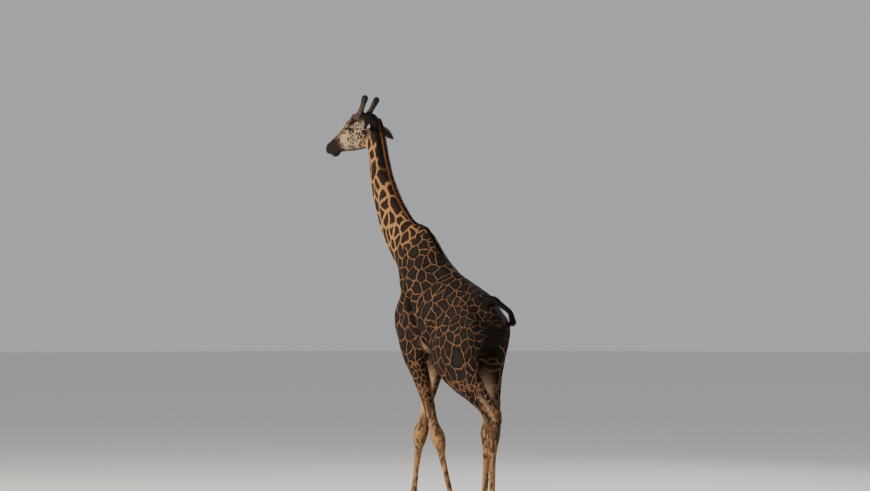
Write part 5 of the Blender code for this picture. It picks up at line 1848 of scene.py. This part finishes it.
class GIRAFFE_OT_fringes(bpy.types.Operator):
    """Adds the longer hairs: lip and chin whiskers, fringes on jaw, brisket and belly, hocks, heels and
    crowns
    """
    bl_idname = "giraffe.fringes"
    bl_label = "Fringes and whiskers"

    def execute(self, context):
        scene = context.scene
        skin, settings = Skin.made, scene.giraffe_coat
        material = bpy.data.materials["giraffe_coat"]
        points, shares = skin.points, skin.shares
        body = to_body(points)
        head = to_head(points)
        body_only = np.arange(len(points)) < skin.body_count
        on_leg = shares[:, 3:].sum(axis=1) > 0.5
        backs = skin.normals[:, 1] > 0.55
        crowns = on_leg & (points[:, 2] < 0.160) & body_only
        heels = on_leg & backs & (points[:, 2] > 0.16) & (points[:, 2] < 0.42)
        hocks = on_leg & backs & (points[:, 2] > 1.0) & (points[:, 2] < 1.5)
        facing_down = body_only & (skin.normals[:, 2] < -0.6)
        brisket = facing_down & ~on_leg & (points[:, 2] < 2.5) & (shares[:, 0] < 0.1)
        jaw = body_only & (shares[:, 0] > 0.5) & (skin.normals[:, 2] < -0.55) & (head[:, 0] < 0.66)
        size = np.zeros(len(points))
        density = np.zeros(len(points))
        for mask, long_hair, many in (
            (crowns, 0.034, 16000.0), (heels, 0.034, 9000.0), (hocks, 0.030, 5000.0),
            (brisket & (body[:, 0] > -0.7), 0.040, 2600.0), (jaw, 0.020, 9000.0),
        ):
            size[mask] = long_hair
            density[mask] = many
        lay_tufts("coat_fringes", size > 0, density, size, size * 0.055, size * 0.26,
                  settings.seed + 60, material)
        rng = np.random.default_rng(settings.seed + 61)
        lips = body_only & (head[:, 0] > 0.66) & (head[:, 2] < -0.035) & (shares[:, 0] > 0.9)
        corners, weights = scatter(lips, np.full(len(points), 5200.0), rng)
        root = read_at(points, corners, weights)
        normal = unit(read_at(skin.normals, corners, weights))
        rows = np.linspace(0, 1, 5)
        size = rng.uniform(0.012, 0.030, (len(root), 1))
        lean = unit(normal + np.array((0.0, 0.0, -0.55)) + rng.normal(0, 0.12, (len(root), 3)))
        paths = (root[:, None] - normal[:, None] * 0.001 + lean[:, None] * (size * rows)[..., None]
                 + np.array((0.0, 0.0, -0.006)) * (rows ** 2)[None, :, None])
        widths = np.full((len(root), 1), 0.00055) * (1 - 0.8 * rows[None] ** 2)
        mesh, per_hair, strand = locks("whiskers", paths, widths, np.cross(normal, (0.3, 0.5, 0.8)))
        dress_locks(mesh, per_hair, strand, {}, sheet_places(root, read_at(shares, corners, weights)))
        hair = strand_finish("giraffe_whisker", (0.030, 0.024, 0.020), (0.24, 0.20, 0.16), 0.3, 1.0, 0.6)
        new_piece("whiskers", mesh, hair)
        return {"FINISHED"}


class GIRAFFE_OT_stage(bpy.types.Operator):
    """Sets the pale floor, the soft studio light and the camera"""
    bl_idname = "giraffe.stage"
    bl_label = "Stage"

    def execute(self, context):
        scene = context.scene
        settings = scene.giraffe_stage
        angle = np.linspace(0, 2 * math.pi, FLOOR_SIDES, endpoint=False)
        ring = np.stack((np.cos(angle), np.sin(angle), 0 * angle), axis=-1)
        rings = np.stack([ring * radius for radius in (90.0, 30.0, 10.0, 3.0)])
        points = np.vstack((rings.reshape(-1, 3), (0, 0, 0)))
        side = np.arange(FLOOR_SIDES)
        last_ring = 3 * FLOOR_SIDES
        cap = np.stack((last_ring + side, last_ring + (side + 1) % FLOOR_SIDES,
                        np.full(FLOOR_SIDES, 4 * FLOOR_SIDES)), axis=-1)
        mesh = mesh_from("floor", points, [loft_faces(4, FLOOR_SIDES), cap])
        floor = bpy.data.objects.new("floor", mesh)
        scene.collection.objects.link(floor)
        mesh.materials.append(floor_finish(tuple(settings.floor)))
        world = bpy.data.worlds.new("studio")
        world.use_nodes = True
        backdrop = world.node_tree.nodes["Background"]
        backdrop.inputs["Color"].default_value = (0.86, 0.87, 0.90, 1.0)
        backdrop.inputs["Strength"].default_value = 0.50
        scene.world = world
        origin = SHIFT.copy()
        back = np.array((math.sin(settings.azimuth), -math.cos(settings.azimuth), 0.0))
        place = origin * (1, 1, 0) + back * settings.distance + np.array((0.0, 0.0, settings.height))
        turned = np.array(Matrix.Rotation(settings.aside, 3, "Z")) @ -back
        look = turned * math.cos(settings.tilt) + np.array((0.0, 0.0, math.sin(settings.tilt)))
        camera = bpy.data.cameras.new("camera")
        camera.lens = settings.lens
        camera.sensor_width = 36.0
        camera.clip_end = 500.0
        holder = bpy.data.objects.new("camera", camera)
        holder.location = Vector(place)
        holder.rotation_euler = Vector(look).to_track_quat("-Z", "Y").to_euler()
        scene.collection.objects.link(holder)
        scene.camera = holder
        left = np.array((-back[1], back[0], 0.0))
        middle = np.array((0.0, 0.0, 2.8))
        for name, place, size, power, shade in (
            ("key", back * 3.5 - left * 11.0 + (0, 0, 5.5), 3.5, 2900.0, (1.0, 0.89, 0.74)),
            ("fill", back * 11.0 + left * 4.0 + (0, 0, 5.0), 9.0, 520.0, (0.92, 0.96, 1.0)),
            ("rim", -back * 8.0 + left * 5.0 + (0, 0, 8.0), 5.0, 500.0, (0.95, 0.97, 1.0)),
        ):
            light = bpy.data.lights.new(name, "AREA")
            light.size = size
            light.energy = power
            light.color = shade
            lamp = bpy.data.objects.new(name, light)
            lamp.location = Vector(place)
            lamp.rotation_euler = Vector(middle - place).to_track_quat("-Z", "Y").to_euler()
            scene.collection.objects.link(lamp)
        return {"FINISHED"}


class GIRAFFE_PT_panel(bpy.types.Panel):
    """Lists the pieces and their settings"""
    bl_label = "Giraffe"
    bl_idname = "GIRAFFE_PT_panel"
    bl_space_type = "VIEW_3D"
    bl_region_type = "UI"
    bl_category = "Giraffe"

    def draw(self, context):
        for operator in OPERATORS:
            self.layout.operator(operator.bl_idname)
        for name in SETTINGS:
            box = self.layout.box()
            group = getattr(context.scene, name)
            for key in group.__annotations__:
                box.prop(group, key)


OPERATORS = (GIRAFFE_OT_skin, GIRAFFE_OT_coat, GIRAFFE_OT_mane, GIRAFFE_OT_tail_hair, GIRAFFE_OT_eyes,
             GIRAFFE_OT_horns, GIRAFFE_OT_hooves, GIRAFFE_OT_fringes, GIRAFFE_OT_stage)
SETTINGS = {
    "giraffe_markings": GiraffeMarkings,
    "giraffe_skin": GiraffeSkinSettings,
    "giraffe_coat": GiraffeCoatSettings,
    "giraffe_stage": GiraffeStageSettings,
}


def register():
    for group in (*SETTINGS.values(), *OPERATORS, GIRAFFE_PT_panel):
        bpy.utils.register_class(group)
    for name, group in SETTINGS.items():
        setattr(bpy.types.Scene, name, bpy.props.PointerProperty(type=group))


def unregister():
    for name in SETTINGS:
        delattr(bpy.types.Scene, name)
    for group in reversed((*SETTINGS.values(), *OPERATORS, GIRAFFE_PT_panel)):
        bpy.utils.unregister_class(group)


def main():
    register()
    for operator in OPERATORS:
        group, name = operator.bl_idname.split(".")
        getattr(getattr(bpy.ops, group), name)()


if __name__ == "__main__":
    main()
